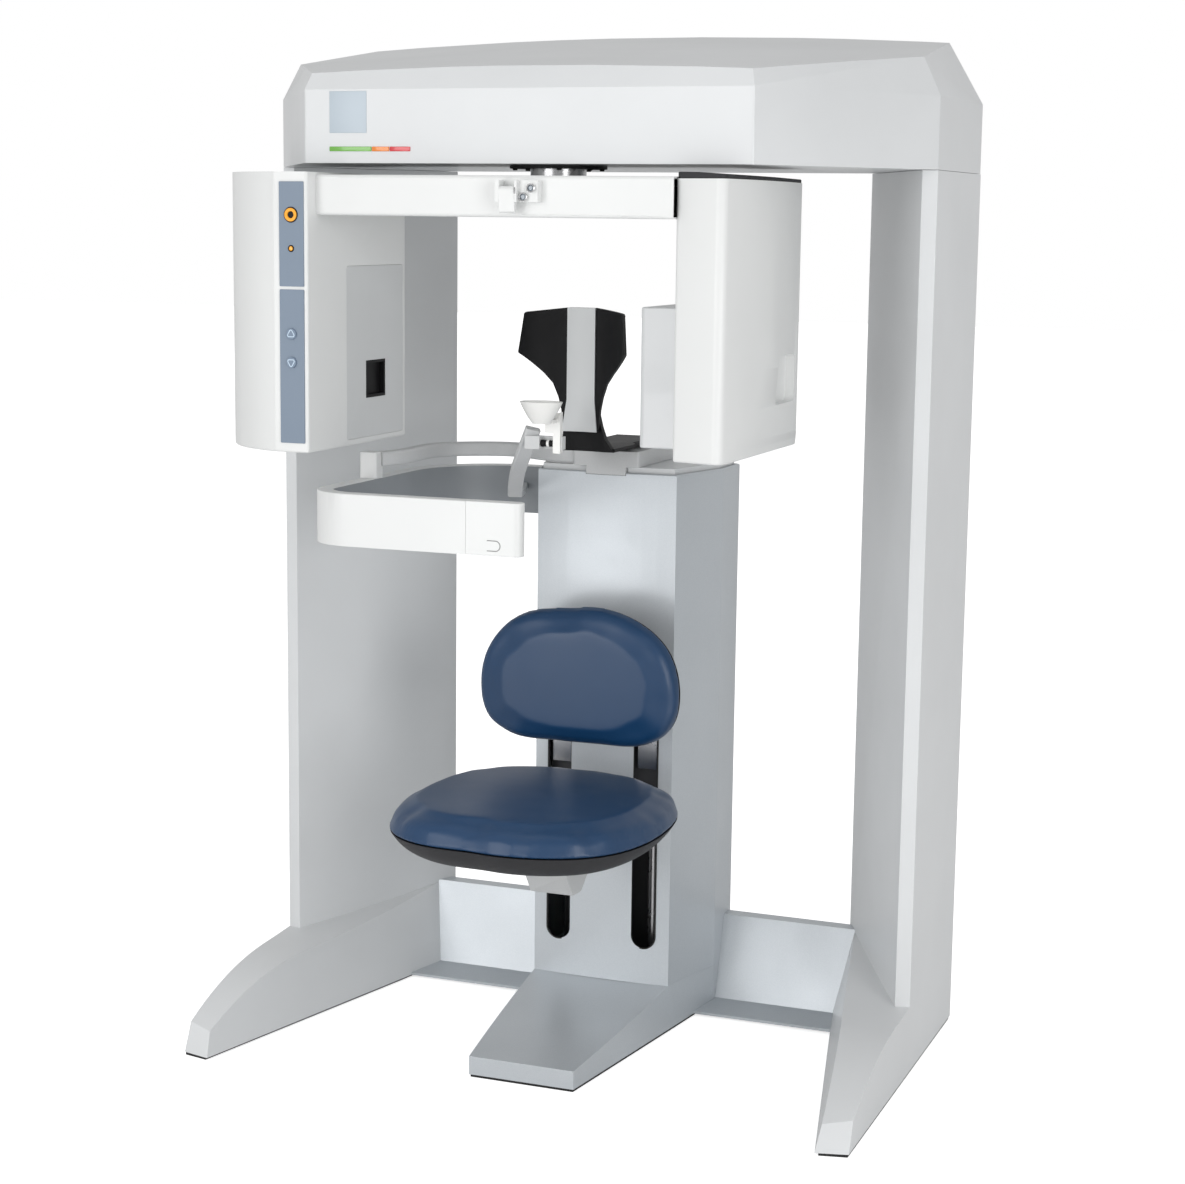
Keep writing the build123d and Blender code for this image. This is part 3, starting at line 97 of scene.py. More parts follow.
# %% Tone drift: a slow change between two colours over a panel
tone_drift, way_in, way_out = start_group(
    "Tone Drift",
    [
        ("Colour A", "NodeSocketColor", (0.8, 0.8, 0.8, 1)),
        ("Colour B", "NodeSocketColor", (0.7, 0.7, 0.7, 1)),
        ("Scale", "NodeSocketFloat", 3.0),
    ],
    [("Colour", "NodeSocketColor")],
)
noise = object_noise(tone_drift, way_in.outputs["Scale"])
spread = tone_drift.nodes.new("ShaderNodeMapRange")
spread.inputs["From Min"].default_value = 0.35
spread.inputs["From Max"].default_value = 0.65
blend = tone_drift.nodes.new("ShaderNodeMix")
blend.data_type = "RGBA"
tone_drift.links.new(noise.outputs["Fac"], spread.inputs["Value"])
tone_drift.links.new(spread.outputs["Result"], blend.inputs["Factor"])
tone_drift.links.new(way_in.outputs["Colour A"], blend.inputs[6])
tone_drift.links.new(way_in.outputs["Colour B"], blend.inputs[7])
tone_drift.links.new(blend.outputs[2], way_out.inputs["Colour"])

# %% Handling: smudged and wiped places shine a little differently
handling, way_in, way_out = start_group(
    "Handling",
    [
        ("Scale", "NodeSocketFloat", 9.0),
        ("Smooth", "NodeSocketFloat", 0.3),
        ("Rough", "NodeSocketFloat", 0.4),
    ],
    [("Roughness", "NodeSocketFloat")],
)
noise = object_noise(handling, way_in.outputs["Scale"], detail=6.0)
spread = handling.nodes.new("ShaderNodeMapRange")
spread.inputs["From Min"].default_value = 0.3
spread.inputs["From Max"].default_value = 0.7
handling.links.new(noise.outputs["Fac"], spread.inputs["Value"])
handling.links.new(way_in.outputs["Smooth"], spread.inputs["To Min"])
handling.links.new(way_in.outputs["Rough"], spread.inputs["To Max"])
handling.links.new(spread.outputs["Result"], way_out.inputs["Roughness"])

# %% Fine relief: orange peel in paint, spark-eroded grain in moulded plastic
fine_relief, way_in, way_out = start_group(
    "Fine Relief", [("Scale", "NodeSocketFloat", 600.0)], [("Height", "NodeSocketFloat")]
)
noise = object_noise(fine_relief, way_in.outputs["Scale"], detail=2.0)
fine_relief.links.new(noise.outputs["Fac"], way_out.inputs["Height"])

# %% [markdown]
# Vinyl upholstery is embossed with small, uneven pebbles. A Voronoi texture's distance to the
# nearest cell edge gives those pebbles and the valleys between them, and a little noise on the
# coordinates keeps the cells from looking ruled.

# %% Vinyl pebble relief
vinyl_relief, way_in, way_out = start_group(
    "Vinyl Relief", [("Scale", "NodeSocketFloat", 450.0)], [("Height", "NodeSocketFloat")]
)
noise = object_noise(vinyl_relief, way_in.outputs["Scale"], detail=2.0)
place = vinyl_relief.nodes.new("ShaderNodeTexCoord")
wobble = vinyl_relief.nodes.new("ShaderNodeVectorMath")
wobble.operation = "MULTIPLY_ADD"
wobble.inputs[1].default_value = (0.0016, 0.0016, 0.0016)
cells = vinyl_relief.nodes.new("ShaderNodeTexVoronoi")
cells.feature = "DISTANCE_TO_EDGE"
vinyl_relief.links.new(noise.outputs["Color"], wobble.inputs[0])
vinyl_relief.links.new(place.outputs["Object"], wobble.inputs[2])
vinyl_relief.links.new(wobble.outputs["Vector"], cells.inputs["Vector"])
vinyl_relief.links.new(way_in.outputs["Scale"], cells.inputs["Scale"])
vinyl_relief.links.new(cells.outputs["Distance"], way_out.inputs["Height"])

# %% [markdown]
# Metallic paint holds tiny flakes. Each catches the light at its own angle, so close up the coat
# sparkles faintly. Random greys per Voronoi cell, mixed thinly into the colour, give that.

# %% Metallic flake
metal_flake, way_in, way_out = start_group(
    "Metal Flake",
    [
        ("Colour", "NodeSocketColor", (0.5, 0.5, 0.5, 1)),
        ("Scale", "NodeSocketFloat", 900.0),
        ("Amount", "NodeSocketFloat", 0.1),
    ],
    [("Colour", "NodeSocketColor")],
)
place = metal_flake.nodes.new("ShaderNodeTexCoord")
cells = metal_flake.nodes.new("ShaderNodeTexVoronoi")
grey = metal_flake.nodes.new("ShaderNodeRGBToBW")
blend = metal_flake.nodes.new("ShaderNodeMix")
blend.data_type = "RGBA"
blend.blend_type = "OVERLAY"
metal_flake.links.new(place.outputs["Object"], cells.inputs["Vector"])
metal_flake.links.new(way_in.outputs["Scale"], cells.inputs["Scale"])
metal_flake.links.new(cells.outputs["Color"], grey.inputs["Color"])
metal_flake.links.new(way_in.outputs["Amount"], blend.inputs["Factor"])
metal_flake.links.new(way_in.outputs["Colour"], blend.inputs[6])
metal_flake.links.new(grey.outputs["Val"], blend.inputs[7])
metal_flake.links.new(blend.outputs[2], way_out.inputs["Colour"])

# %% [markdown]
# ## Finishes
# One helper wires the groups to a Principled shader. What is the same all over a surface is set
# on the shader's own sockets, and only what changes over the surface comes through a link.


# %% The helper that builds a finish
def place_group(material, group, **values):
    """A copy of a shared effect in a material, with this material's own values."""
    node = material.node_tree.nodes.new("ShaderNodeGroup")
    node.node_tree = group
    for label, value in values.items():
        node.inputs[label.replace("_", " ")].default_value = value
    return node


def shade(colour, factor):
    """The colour made lighter or darker."""
    return tuple(c * factor for c in colour) + (1,)


def finish_of(name, colour, smooth, rough, drift=0.94, relief=None, bump=0.1, flake=0.0, **sockets):
    """A finish with drifting tone, handled roughness and, where given, relief and flake."""
    material = bpy.data.materials.new(name)
    material.use_nodes = True
    links = material.node_tree.links
    surface = material.node_tree.nodes["Principled BSDF"]
    for label, value in sockets.items():
        surface.inputs[label.replace("_", " ")].default_value = value
    tone = place_group(
        material, tone_drift, Colour_A=shade(colour, 1.0), Colour_B=shade(colour, drift), Scale=2.6
    )
    colour_from = tone.outputs["Colour"]
    if flake:
        sparkle = place_group(material, metal_flake, Scale=1100.0, Amount=flake)
        links.new(colour_from, sparkle.inputs["Colour"])
        colour_from = sparkle.outputs["Colour"]
    links.new(colour_from, surface.inputs["Base Color"])
    touched = place_group(material, handling, Scale=7.0, Smooth=smooth, Rough=rough)
    links.new(touched.outputs["Roughness"], surface.inputs["Roughness"])
    if relief:
        group, scale = relief
        raised = place_group(material, group, Scale=scale)
        bumps = material.node_tree.nodes.new("ShaderNodeBump")
        bumps.inputs["Strength"].default_value = bump
        bumps.inputs["Distance"].default_value = 0.0004
        links.new(raised.outputs["Height"], bumps.inputs["Height"])
        links.new(bumps.outputs["Normal"], surface.inputs["Normal"])
    return material


# %% The finishes of this machine
peel = (fine_relief, 260.0)
grain = (fine_relief, 1500.0)
finishes = {
    "cover_light": finish_of(
        "Beam Paint", (0.71, 0.725, 0.735), 0.36, 0.44, relief=peel, bump=0.06, Coat_Weight=0.15
    ),
    "cover_silver": finish_of(
        "Silver Paint", (0.60, 0.635, 0.665), 0.36, 0.44, relief=peel, bump=0.05, flake=0.08,
        Metallic=0.45, Coat_Weight=0.15, Coat_Roughness=0.3,
    ),
    "cover_white": finish_of(
        "White Cover", (0.78, 0.79, 0.785), 0.32, 0.4, drift=0.97, relief=peel, bump=0.05
    ),
    "plastic_white": finish_of(
        "White Moulding", (0.84, 0.84, 0.82), 0.2, 0.3, drift=0.97, relief=grain, bump=0.04
    ),
    "plastic_dark": finish_of(
        "Dark Moulding", (0.016, 0.016, 0.019), 0.5, 0.62, drift=0.8, relief=grain, bump=0.25
    ),
    "plastic_black": finish_of(
        "Black Moulding", (0.006, 0.006, 0.007), 0.45, 0.6, drift=0.8, relief=grain, bump=0.25,
        Specular_IOR_Level=0.25,
    ),
    "panel_slate": finish_of(
        "Slate Film", (0.20, 0.255, 0.33), 0.4, 0.5, relief=grain, bump=0.1
    ),
    "panel_grey": finish_of(
        "Grey Panel", (0.66, 0.675, 0.68), 0.38, 0.46, relief=grain, bump=0.1
    ),
    "button_pale": finish_of(
        "Button Film", (0.19, 0.25, 0.34), 0.4, 0.5, relief=grain, bump=0.1
    ),
    "bracket_grey": finish_of(
        "Grey Paint", (0.60, 0.61, 0.615), 0.34, 0.42, relief=peel, bump=0.06, flake=0.06
    ),
    "frame_steel": finish_of(
        "Frame Paint", (0.05, 0.052, 0.056), 0.45, 0.6, drift=0.8, relief=peel, bump=0.2
    ),
    "steel_bright": finish_of(
        "Bright Steel", (0.62, 0.62, 0.63), 0.18, 0.32, relief=grain, bump=0.05, Metallic=1.0
    ),
    "rubber_black": finish_of(
        "Black Rubber", (0.014, 0.014, 0.014), 0.6, 0.75, drift=0.7, relief=grain, bump=0.3
    ),
    "vinyl_navy": finish_of(
        "Navy Vinyl", (0.003, 0.040, 0.115), 0.38, 0.46, drift=0.86, relief=(vinyl_relief, 520.0),
        bump=0.22, Coat_Weight=0.2, Coat_Roughness=0.3,
    ),
}
for node, slot_name in slot_of_node.items():
    if slot_name in finishes:
        nodes[node].data.materials.clear()
        nodes[node].data.materials.append(finishes[slot_name])
print("finishes:", len(finishes))

# %% [markdown]
# Lamps are lit from behind, so their lenses glow a little. A weak emission of the lens colour is
# enough: a strong one would wash the colour out.


# %% Lit lenses
def lens_of(name, colour, glow):
    material = finish_of(name, colour, 0.12, 0.2, drift=0.9)
    surface = material.node_tree.nodes["Principled BSDF"]
    surface.inputs["Emission Color"].default_value = shade(colour, 1.0)
    surface.inputs["Emission Strength"].default_value = glow
    surface.inputs["Coat Weight"].default_value = 0.6
    return material


amber = lens_of("Amber Lens", (0.85, 0.36, 0.03), 0.35)
green = lens_of("Green Lens", (0.16, 0.42, 0.07), 0.12)
orange = lens_of("Orange Lens", (0.75, 0.22, 0.03), 0.12)
red = lens_of("Red Lens", (0.62, 0.05, 0.06), 0.12)
clear = lens_of("Clear Lens", (0.30, 0.34, 0.38), 0.0)
badge_blue = finish_of("Badge Film", (0.50, 0.57, 0.63), 0.3, 0.4)
liner_grey = finish_of("Liner Film", (0.30, 0.32, 0.34), 0.34, 0.46, relief=grain, bump=0.1)
# dark grey of the latch mark on the end cap: painted shade standing for an engraved groove
groove_shadow_grey = finish_of("Groove Shadow", (0.22, 0.22, 0.22), 0.5, 0.6)
icon_paint = finish_of("Icon Print", (0.55, 0.68, 0.80), 0.4, 0.5)

# %% [markdown]
# ## Soft edges on the covers
# Real covers are bent, moulded and painted, so no edge is a knife. The engineering model has
# plain edges on its large covers. A copy of each is welded, its flat faces are joined up unless
# its skin is curved, and a narrow Bevel rounds what is sharper than thirty degrees. The copy then
# stands for the node.


# %% Making a piece from a bmesh, and a softened copy of a node
def add_piece(name, shape, body, slot_name, material=None, smooth=30):
    """Writes the bmesh to an object that rides on a body and takes a finish."""
    mesh = bpy.data.meshes.new(name)
    shape.to_mesh(mesh)
    shape.free()
    mesh.shade_smooth()
    mesh.set_sharp_from_angle(angle=math.radians(smooth))
    mesh.materials.append(material or finishes[slot_name])
    piece = bpy.data.objects.new(name, mesh)
    scene.collection.objects.link(piece)
    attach(piece, body)
    print(name, "rides on", body, "with", len(mesh.polygons), "faces")
    return piece


def welded(node):
    """A bmesh of a node with its loose triangles joined."""
    shape = bmesh.new()
    shape.from_mesh(nodes[node].data)
    bmesh.ops.remove_doubles(shape, verts=shape.verts, dist=0.00002)
    return shape


def round_edges(piece, width, segments=3):
    """A live Bevel on what is sharper than thirty degrees."""
    bevel = piece.modifiers.new("Soft edges", "BEVEL")
    bevel.width = width
    bevel.segments = segments
    bevel.limit_method = "ANGLE"
    bevel.angle_limit = math.radians(30)
    bevel.harden_normals = True


def softened(node, width):
    """A welded copy of a node with rounded edges, which stands for the node."""
    shape = welded(node)
    if node not in keep_triangles:
        bmesh.ops.dissolve_limit(
            shape, angle_limit=math.radians(0.6), verts=shape.verts, edges=shape.edges
        )
    piece = add_piece("soft_" + node, shape, body_of_node[node], slot_of_node[node])
    round_edges(piece, width)
    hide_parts(node)


# joining faces would dent the curved skins of these, so they keep their triangles
keep_triangles = (
    "support_bar", "headrest_bracket", "seat_frame", "source_housing", "detector_housing",
)
for node, width in {
    "beam_cover": 0.0018,
    "left_leg_cover": 0.0018,
    "right_leg_cover": 0.0018,
    "centre_foot": 0.0018,
    "cross_plates": 0.0012,
    "column_cover": 0.0012,
    "head_block": 0.0015,
    "support_bar": 0.0012,
    "bar_end_cap": 0.0012,
    "rail_end_post": 0.0015,
    "headrest_bracket": 0.0012,
    "seat_frame": 0.0015,
    "beam_window_panel": 0.0006,
    "control_panels": 0.0005,
    "source_housing": 0.001,
    "detector_housing": 0.001,
    "detector_module": 0.001,
    "detector_top_cap": 0.0015,
    "column_top_cap": 0.0012,
}.items():
    softened(node, width)
print("covers softened")

# %% [markdown]
# ## Cushions
# The seat and the backrest are foam under stretched vinyl. The plain solids give the outline and
# the room there is. Each is copied a little smaller, remeshed evenly, and blown up as cloth: the
# skin tightens into a crowned form as real upholstery does. The face that sits in the pan or on
# the shell is pinned, so that it stays flat, and the small puckers of the rest are smoothed out.


# %% Stuffing a cushion
def as_fixed_mesh(piece):
    """What the piece's modifiers make of it, as plain mesh data."""
    seen = piece.evaluated_get(bpy.context.evaluated_depsgraph_get())
    return bpy.data.meshes.new_from_object(seen)


def coordinates(mesh):
    flat = np.empty(len(mesh.vertices) * 3)
    mesh.vertices.foreach_get("co", flat)
    return flat.reshape(-1, 3)


def smoothed(mesh, start, held, rounds=26):
    """The blown skin with its puckers ironed out: each vertex drifts to its neighbours' middle."""
    pairs = np.empty(len(mesh.edges) * 2, dtype=int)
    mesh.edges.foreach_get("vertices", pairs)
    pairs = pairs.reshape(-1, 2)
    count = np.bincount(pairs.ravel(), minlength=len(start)).reshape(-1, 1)
    move = coordinates(mesh) - start
    for _ in range(rounds):
        total = np.zeros_like(move)
        np.add.at(total, pairs[:, 0], move[pairs[:, 1]])
        np.add.at(total, pairs[:, 1], move[pairs[:, 0]])
        move = 0.4 * move + 0.6 * total / count
        move[held] = 0
    return start + move


cloth_frames = 20


def stuffed(name, node, body, flat_axis, flat_side, shrink, cap):
    """An upholstered copy of a pad. flat_side is 1 or -1: which end along flat_axis is pinned."""
    low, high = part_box(node)
    centre = (low + high) / 2
    anchor = centre.copy()
    anchor[flat_axis] = (high if flat_side > 0 else low)[flat_axis]
    shape = welded(node)
    bmesh.ops.scale(shape, vec=shrink, space=Matrix.Translation(-anchor), verts=shape.verts)
    piece = add_piece(name, shape, body, "vinyl_navy")
    remesh = piece.modifiers.new("Even skin", "REMESH")
    remesh.mode = "VOXEL"
    remesh.voxel_size = 0.005
    piece.data = as_fixed_mesh(piece)
    piece.modifiers.clear()
    start = coordinates(piece.data)
    held = piece.vertex_groups.new(name="held")
    edge = anchor[flat_axis] - flat_side * 0.006
    on_base = [i for i, p in enumerate(start) if (p[flat_axis] - edge) * flat_side > 0]
    held.add(on_base, 1.0, "REPLACE")
    cloth = piece.modifiers.new("Stuffing", "CLOTH")
    cloth.settings.use_pressure = True
    cloth.settings.uniform_pressure_force = 4
    cloth.settings.effector_weights.gravity = 0
    cloth.settings.vertex_group_mass = "held"
    for step in range(1, cloth_frames + 1):
        scene.frame_set(step)
    blown = as_fixed_mesh(piece)
    settled = smoothed(blown, start, on_base)
    move = settled - start
    length = np.linalg.norm(move, axis=1, keepdims=True)
    move *= np.minimum(1.0, cap / np.maximum(length, 1e-9))
    piece.modifiers.clear()
    piece.data.vertices.foreach_set("co", (start + move).ravel())
    scene.frame_set(1)
    print(name, "swelled by up to", round(float(length.max()) * 1000, 1), "mm")
    piece.data.shade_smooth()
    piece.data.materials.clear()
    piece.data.materials.append(finishes["vinyl_navy"])
    finer = piece.modifiers.new("Finer skin", "SUBSURF")
    finer.levels = finer.render_levels = 1
    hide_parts(node)


stuffed("seat_pad", "seat_cushion", "seat", 2, -1, (0.985, 0.985, 0.86), 0.012)
stuffed("back_pad", "backrest_cushion", "seat", 1, 1, (0.98, 0.84, 0.98), 0.010)

# %% [markdown]
# ## Round fittings
# Lamps, screws, rings and lenses are all turned shapes. A turned shape is a profile of a few
# vertices spun round an axis, so one helper does them all: the profile gives radius and height,
# and the matrix stands it where it belongs.


# %% Turning a profile, and standing it on a face
facing = {
    "-Y": Matrix.Rotation(math.radians(90), 4, "X"),
    "+Y": Matrix.Rotation(math.radians(-90), 4, "X"),
    "-Z": Matrix.Rotation(math.radians(180), 4, "X"),
    "+X": Matrix.Rotation(math.radians(90), 4, "Y"),
    "+Z": Matrix.Identity(4),
}


def turn(shape, profile, centre, way, steps=40):
    """Spins a profile of (radius, height) points and stands it at centre, pointing one way."""
    points = [shape.verts.new((radius, 0, height)) for radius, height in profile]
    edges = [shape.edges.new(pair) for pair in zip(points, points[1:])]
    bmesh.ops.spin(
        shape, geom=points + edges, cent=(0, 0, 0), axis=(0, 0, 1), dvec=(0, 0, 0),
        angle=math.tau, steps=steps, use_merge=True, use_duplicate=False,
    )
    made = [v for v in shape.verts if v.tag is False]
    bmesh.ops.remove_doubles(shape, verts=made, dist=1e-6)
    made = [v for v in shape.verts if v.tag is False]
    bmesh.ops.transform(shape, matrix=Matrix.Translation(centre) @ facing[way], verts=made)
    for v in made:
        v.tag = True


def outward(shape):
    bmesh.ops.recalc_face_normals(shape, faces=shape.faces)
    return shape


# %% Warning lamp: a lit ring round a dark centre, and a small ready lamp
lamp_low, lamp_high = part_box("warning_lamps")
lamp_x = (lamp_low.x + lamp_high.x) / 2
warning_radius = 0.0112
ready_radius = 0.004
warning_spot = (lamp_x, lamp_high.y, lamp_high.z - 0.012)
ready_spot = (lamp_x, lamp_high.y, lamp_low.z + 0.005)
warning_profile = [
    (0.0055, 0), (0.0062, 0.0022), (0.0085, 0.0032), (0.0108, 0.0022), (warning_radius, 0),
]
ring = bmesh.new()
turn(ring, warning_profile, warning_spot, "-Y")
turn(ring, [(0, 0.0022), (0.0028, 0.0018), (ready_radius, 0)], ready_spot, "-Y")
lamp_ring = add_piece("lamp_rings", outward(ring), "gantry", "lens_amber", amber)
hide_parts("warning_lamps")

bezel_height = 0.0012
bezel_width = 0.0018
core = bmesh.new()
turn(core, [(0, 0.0018), (0.005, 0.0012), (0.0056, 0)], warning_spot, "-Y")
for spot, radius in ((warning_spot, warning_radius), (ready_spot, ready_radius)):
    bezel = [
        (radius, 0), (radius, bezel_height), (radius + 0.0012, bezel_height),
        (radius + bezel_width, 0),
    ]
    turn(core, bezel, spot, "-Y")
add_piece("lamp_bezels", outward(core), "gantry", "plastic_black")

# %% [markdown]
# ## Bars and plates
# Flat fittings start as a cube scaled to size and get their edges rounded by the bevel operator.


# %% A rounded bar or plate
def block(shape, low, high, radius, segments=3):
    """A box between two corners, with all its edges rounded."""
    size = Vector(high) - Vector(low)
    place = Matrix.Translation((Vector(low) + Vector(high)) / 2) @ Matrix.Diagonal((*size, 1))
    made = bmesh.ops.create_cube(shape, size=1.0, matrix=place)["verts"]
    edges = list({e for v in made for e in v.link_edges})
    bmesh.ops.bevel(
        shape, geom=edges, offset=radius, segments=segments, profile=0.5, affect="EDGES",
        material=-1,
    )


# %% Status lights on the beam: green, orange and red lenses in a row
bar_low, bar_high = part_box("status_light_bar")
length = bar_high.x - bar_low.x
lens_edge = 0.0008
lens_inset = 0.0012
for name, begin, end, lens in (
    ("status_green", 0.0, 0.52, green),
    ("status_orange", 0.53, 0.74, orange),
    ("status_red", 0.75, 1.0, red),
):
    shape = bmesh.new()
    left = (bar_low.x + begin * length, bar_low.y, bar_low.z + lens_inset)
    right = (bar_low.x + end * length, bar_high.y + 0.001, bar_high.z - lens_inset)
    block(shape, left, right, lens_edge)
    add_piece(name, outward(shape), "portal", "lens_clear", lens)
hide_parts("status_light_bar")

# %% A plain badge plate, left blank
plate_size = Vector((0.068, 0.0018, 0.068))
gap_over_lights = 0.021
plate = bmesh.new()
plate_low = Vector((bar_low.x, bar_low.y + 0.0008, bar_high.z + gap_over_lights))
block(plate, plate_low, plate_low + plate_size, 0.0008)
add_piece("badge_plate", outward(plate), "portal", "cover_light", badge_blue)

# %% [markdown]
# ## Lines, liners and gaskets
# Thin strips that follow a path on an upright face are built as ribbons: each point of the path
# gets an inner and an outer vertex, once at the back and once at the front, and neighbouring
# points are joined by faces. A closed path gives a ring, an open one gets end faces.


# %% A ribbon along a path of (x, z) points
def ribbon(shape, path, half_width, back, front, closed):
    """Builds the strip between the y values back and front, which stands on the path."""
    count = len(path)
    rings = []
    for i, (x, z) in enumerate(path):
        before = path[(i - 1) % count] if closed or i else path[i]
        after = path[(i + 1) % count] if closed or i < count - 1 else path[i]
        run = Vector((after[0] - before[0], after[1] - before[1])).normalized()
        side = Vector((-run.y, run.x)) * half_width
        rings.append([
            shape.verts.new((x + sign * side.x, y, z + sign * side.y))
            for sign, y in ((1, back), (1, front), (-1, front), (-1, back))
        ])
    pairs = list(zip(rings, rings[1:])) + ([(rings[-1], rings[0])] if closed else [])
    for one, two in pairs:
        for j in range(4):
            shape.faces.new((one[j], one[(j + 1) % 4], two[(j + 1) % 4], two[j]))
    if not closed:
        shape.faces.new(rings[0])
        shape.faces.new(rings[-1])


def half_round(centre_x, centre_z, radius, start, steps=16):
    """Points of a half circle, its start given in degrees."""
    angles = [math.radians(start + 180 * i / steps) for i in range(steps + 1)]
    return [(centre_x + radius * math.cos(a), centre_z + radius * math.sin(a)) for a in angles]


# %% Triangle signs on the two keys
def key_sign(name, node, way):
    """A rounded triangle, its point up for way 1 and down for way -1."""
    low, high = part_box(node)
    centre_x, centre_z = (low.x + high.x) / 2, (low.z + high.z) / 2
    reach = 0.0042
    corner_radius = 0.0024
    path = []
    for corner in range(3):
        base = math.radians(90 + 120 * corner)
        for i in range(5):
            angle = base + math.radians(30 * i - 60)
            x = reach * math.cos(base) + corner_radius * math.cos(angle)
            z = reach * math.sin(base) + corner_radius * math.sin(angle)
            path.append((centre_x + x, centre_z + way * z))
    shape = bmesh.new()
    ribbon(shape, path, 0.0008, low.y + 0.0002, low.y - 0.0003, True)
    return add_piece(name, outward(shape), body_of_node[node], "button_pale", icon_paint)


key_sign("up_sign", "up_button", 1)
key_sign("down_sign", "down_button", -1)

# %% Rubber lips round the two slots of the column
slot_centre = 0.084
slot_radius = 0.0235
upper_end, lower_end = 0.689, 0.168
lip_back, lip_front = 0.2440, 0.2468
lips = bmesh.new()
for slot_x in (-slot_centre, slot_centre):
    path = half_round(slot_x, upper_end, slot_radius, 0)
    path += half_round(slot_x, lower_end, slot_radius, 180)
    ribbon(lips, path, 0.0012, lip_back, lip_front, True)
add_piece("slot_lips", outward(lips), "portal", "rubber_black")

# %% The latch mark on the bar's end cap: a dark grey ribbon of painted shade that stands for an engraved groove
latch_left = -0.034
latch_bottom, latch_top = 0.9405, 0.9575
cap_front = -0.2146
latch = bmesh.new()
latch_path = [(latch_left, latch_bottom)]
latch_path += half_round(-0.019, 0.949, 0.0085, -90)
latch_path += [(latch_left, latch_top)]
ribbon(latch, latch_path, 0.0007, cap_front, -0.2153, False)
add_piece("latch_groove_shadow", outward(latch), "portal", "bracket_grey", groove_shadow_grey)

# %% [markdown]
# The horseshoe bar is lined on its inner side with a darker strip. Its faces are picked off the
# bar's own mesh by the way they face and by where they lie, and given a thickness of half a
# millimetre.

# %% Liner inside the horseshoe
liner = welded("support_bar")
middle = Vector((-0.13, 0.08, 0.976))
inner_left = -0.3535
inner_front, inner_back = -0.1875, 0.3485
outside = []
for face in liner.faces:
    centre = face.calc_center_median()
    towards = middle - centre
    towards.z = 0
    along = face.normal.dot(towards.normalized())
    inner = centre.x > inner_left and inner_front < centre.y < inner_back
    if abs(face.normal.z) > 0.3 or along < 0.15 or not inner:
        outside.append(face)
bmesh.ops.delete(liner, geom=outside, context="FACES")
bmesh.ops.solidify(liner, geom=list(liner.faces), thickness=-0.0005)
add_piece("bar_liner", outward(liner), "portal", "cover_white", liner_grey)

# %% [markdown]
# ## Screws, vents and rings
# The rear panels are held by pan-head screws and let warm air out through louvres. The bearing's
# flange under the beam is bolted up from below.

# %% Screws of the rear panels and bolts of the bearing flange
panel_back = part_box("rear_panels")[1].y
leg_panel_x = 0.514
pan_head = [(0, 0.0022), (0.0022, 0.0021), (0.0036, 0.0014), (0.0042, 0)]
screws = bmesh.new()
for centre_x, half, bottom, top in (
    (-leg_panel_x, 0.048, 0.212, 1.468),
    (0, 0.128, 0.122, 0.968),
    (leg_panel_x, 0.048, 0.212, 1.468),
):
    for side in (-1, 1):
        for height in (bottom, (bottom + top) / 2, top):
            turn(screws, pan_head, (centre_x + side * half, panel_back, height), "+Y", steps=20)
add_piece("rear_screws", outward(screws), "portal", "steel_bright")

flange_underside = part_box("gantry_bearing")[0].z
bolt_count = 8
bolt_circle = 0.073
socket_head = [(0, 0.0012), (0.0016, 0.0012), (0.002, 0.003), (0.0038, 0.003), (0.0044, 0)]
bolts = bmesh.new()
for i in range(bolt_count):
    angle = math.tau * (i + 0.5) / bolt_count
    spot = (bolt_circle * math.cos(angle), bolt_circle * math.sin(angle), flange_underside)
    turn(bolts, socket_head, spot, "-Z", steps=20)
add_piece("flange_bolts", outward(bolts), "portal", "plastic_black")

# %% Knob and sleeve of the chin rest's clamp
knob_low, knob_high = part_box("chin_knob")
clamp_y, clamp_z = (knob_low.y + knob_high.y) / 2, (knob_low.z + knob_high.z) / 2
grip_radius = 0.0056
rib_count = 14
rib_half = 0.0005
rib_left, rib_right = -0.0120, -0.0074
grip = bmesh.new()
grip_profile = [(0, 0.0062), (0.0048, 0.006), (grip_radius, 0.005), (grip_radius, 0)]
turn(grip, grip_profile, (-0.0122, clamp_y, clamp_z), "+X", steps=28)
for i in range(rib_count):
    angle = math.tau * i / rib_count
    rib_y = clamp_y + grip_radius * math.cos(angle)
    rib_z = clamp_z + grip_radius * math.sin(angle)
    low_corner = (rib_left, rib_y - rib_half, rib_z - rib_half)
    high_corner = (rib_right, rib_y + rib_half, rib_z + rib_half)
    block(grip, low_corner, high_corner, 0.0002, segments=1)
add_piece("clamp_grip", outward(grip), "chin_clamp", "plastic_black")

sleeve_length = 0.006
sleeve_radius = 0.0060
sleeve_profile = [
    (0, 0), (0.0052, 0), (sleeve_radius, 0.0008), (sleeve_radius, 0.0052),
    (0.0052, sleeve_length), (0, sleeve_length),
]
sleeve = bmesh.new()
turn(sleeve, sleeve_profile, (-0.0022, clamp_y, clamp_z), "+X", steps=28)
add_piece("clamp_sleeve", outward(sleeve), "chin_clamp", "plastic_white")

# %% Louvres in the middle rear panel
louvre_rows = 9
louvre_pitch = 0.015
louvre_height = 0.008
louvre_half_width = 0.075
louvre_edge = 0.0018
lowest_louvre = 0.80
louvres = bmesh.new()
for row in range(louvre_rows):
    low_z = lowest_louvre + row * louvre_pitch
    low_corner = (-louvre_half_width, panel_back - 0.001, low_z)
    high_corner = (louvre_half_width, panel_back + 0.003, low_z + louvre_height)
    block(louvres, low_corner, high_corner, louvre_edge)
add_piece("rear_louvres", outward(louvres), "portal", "cover_light")

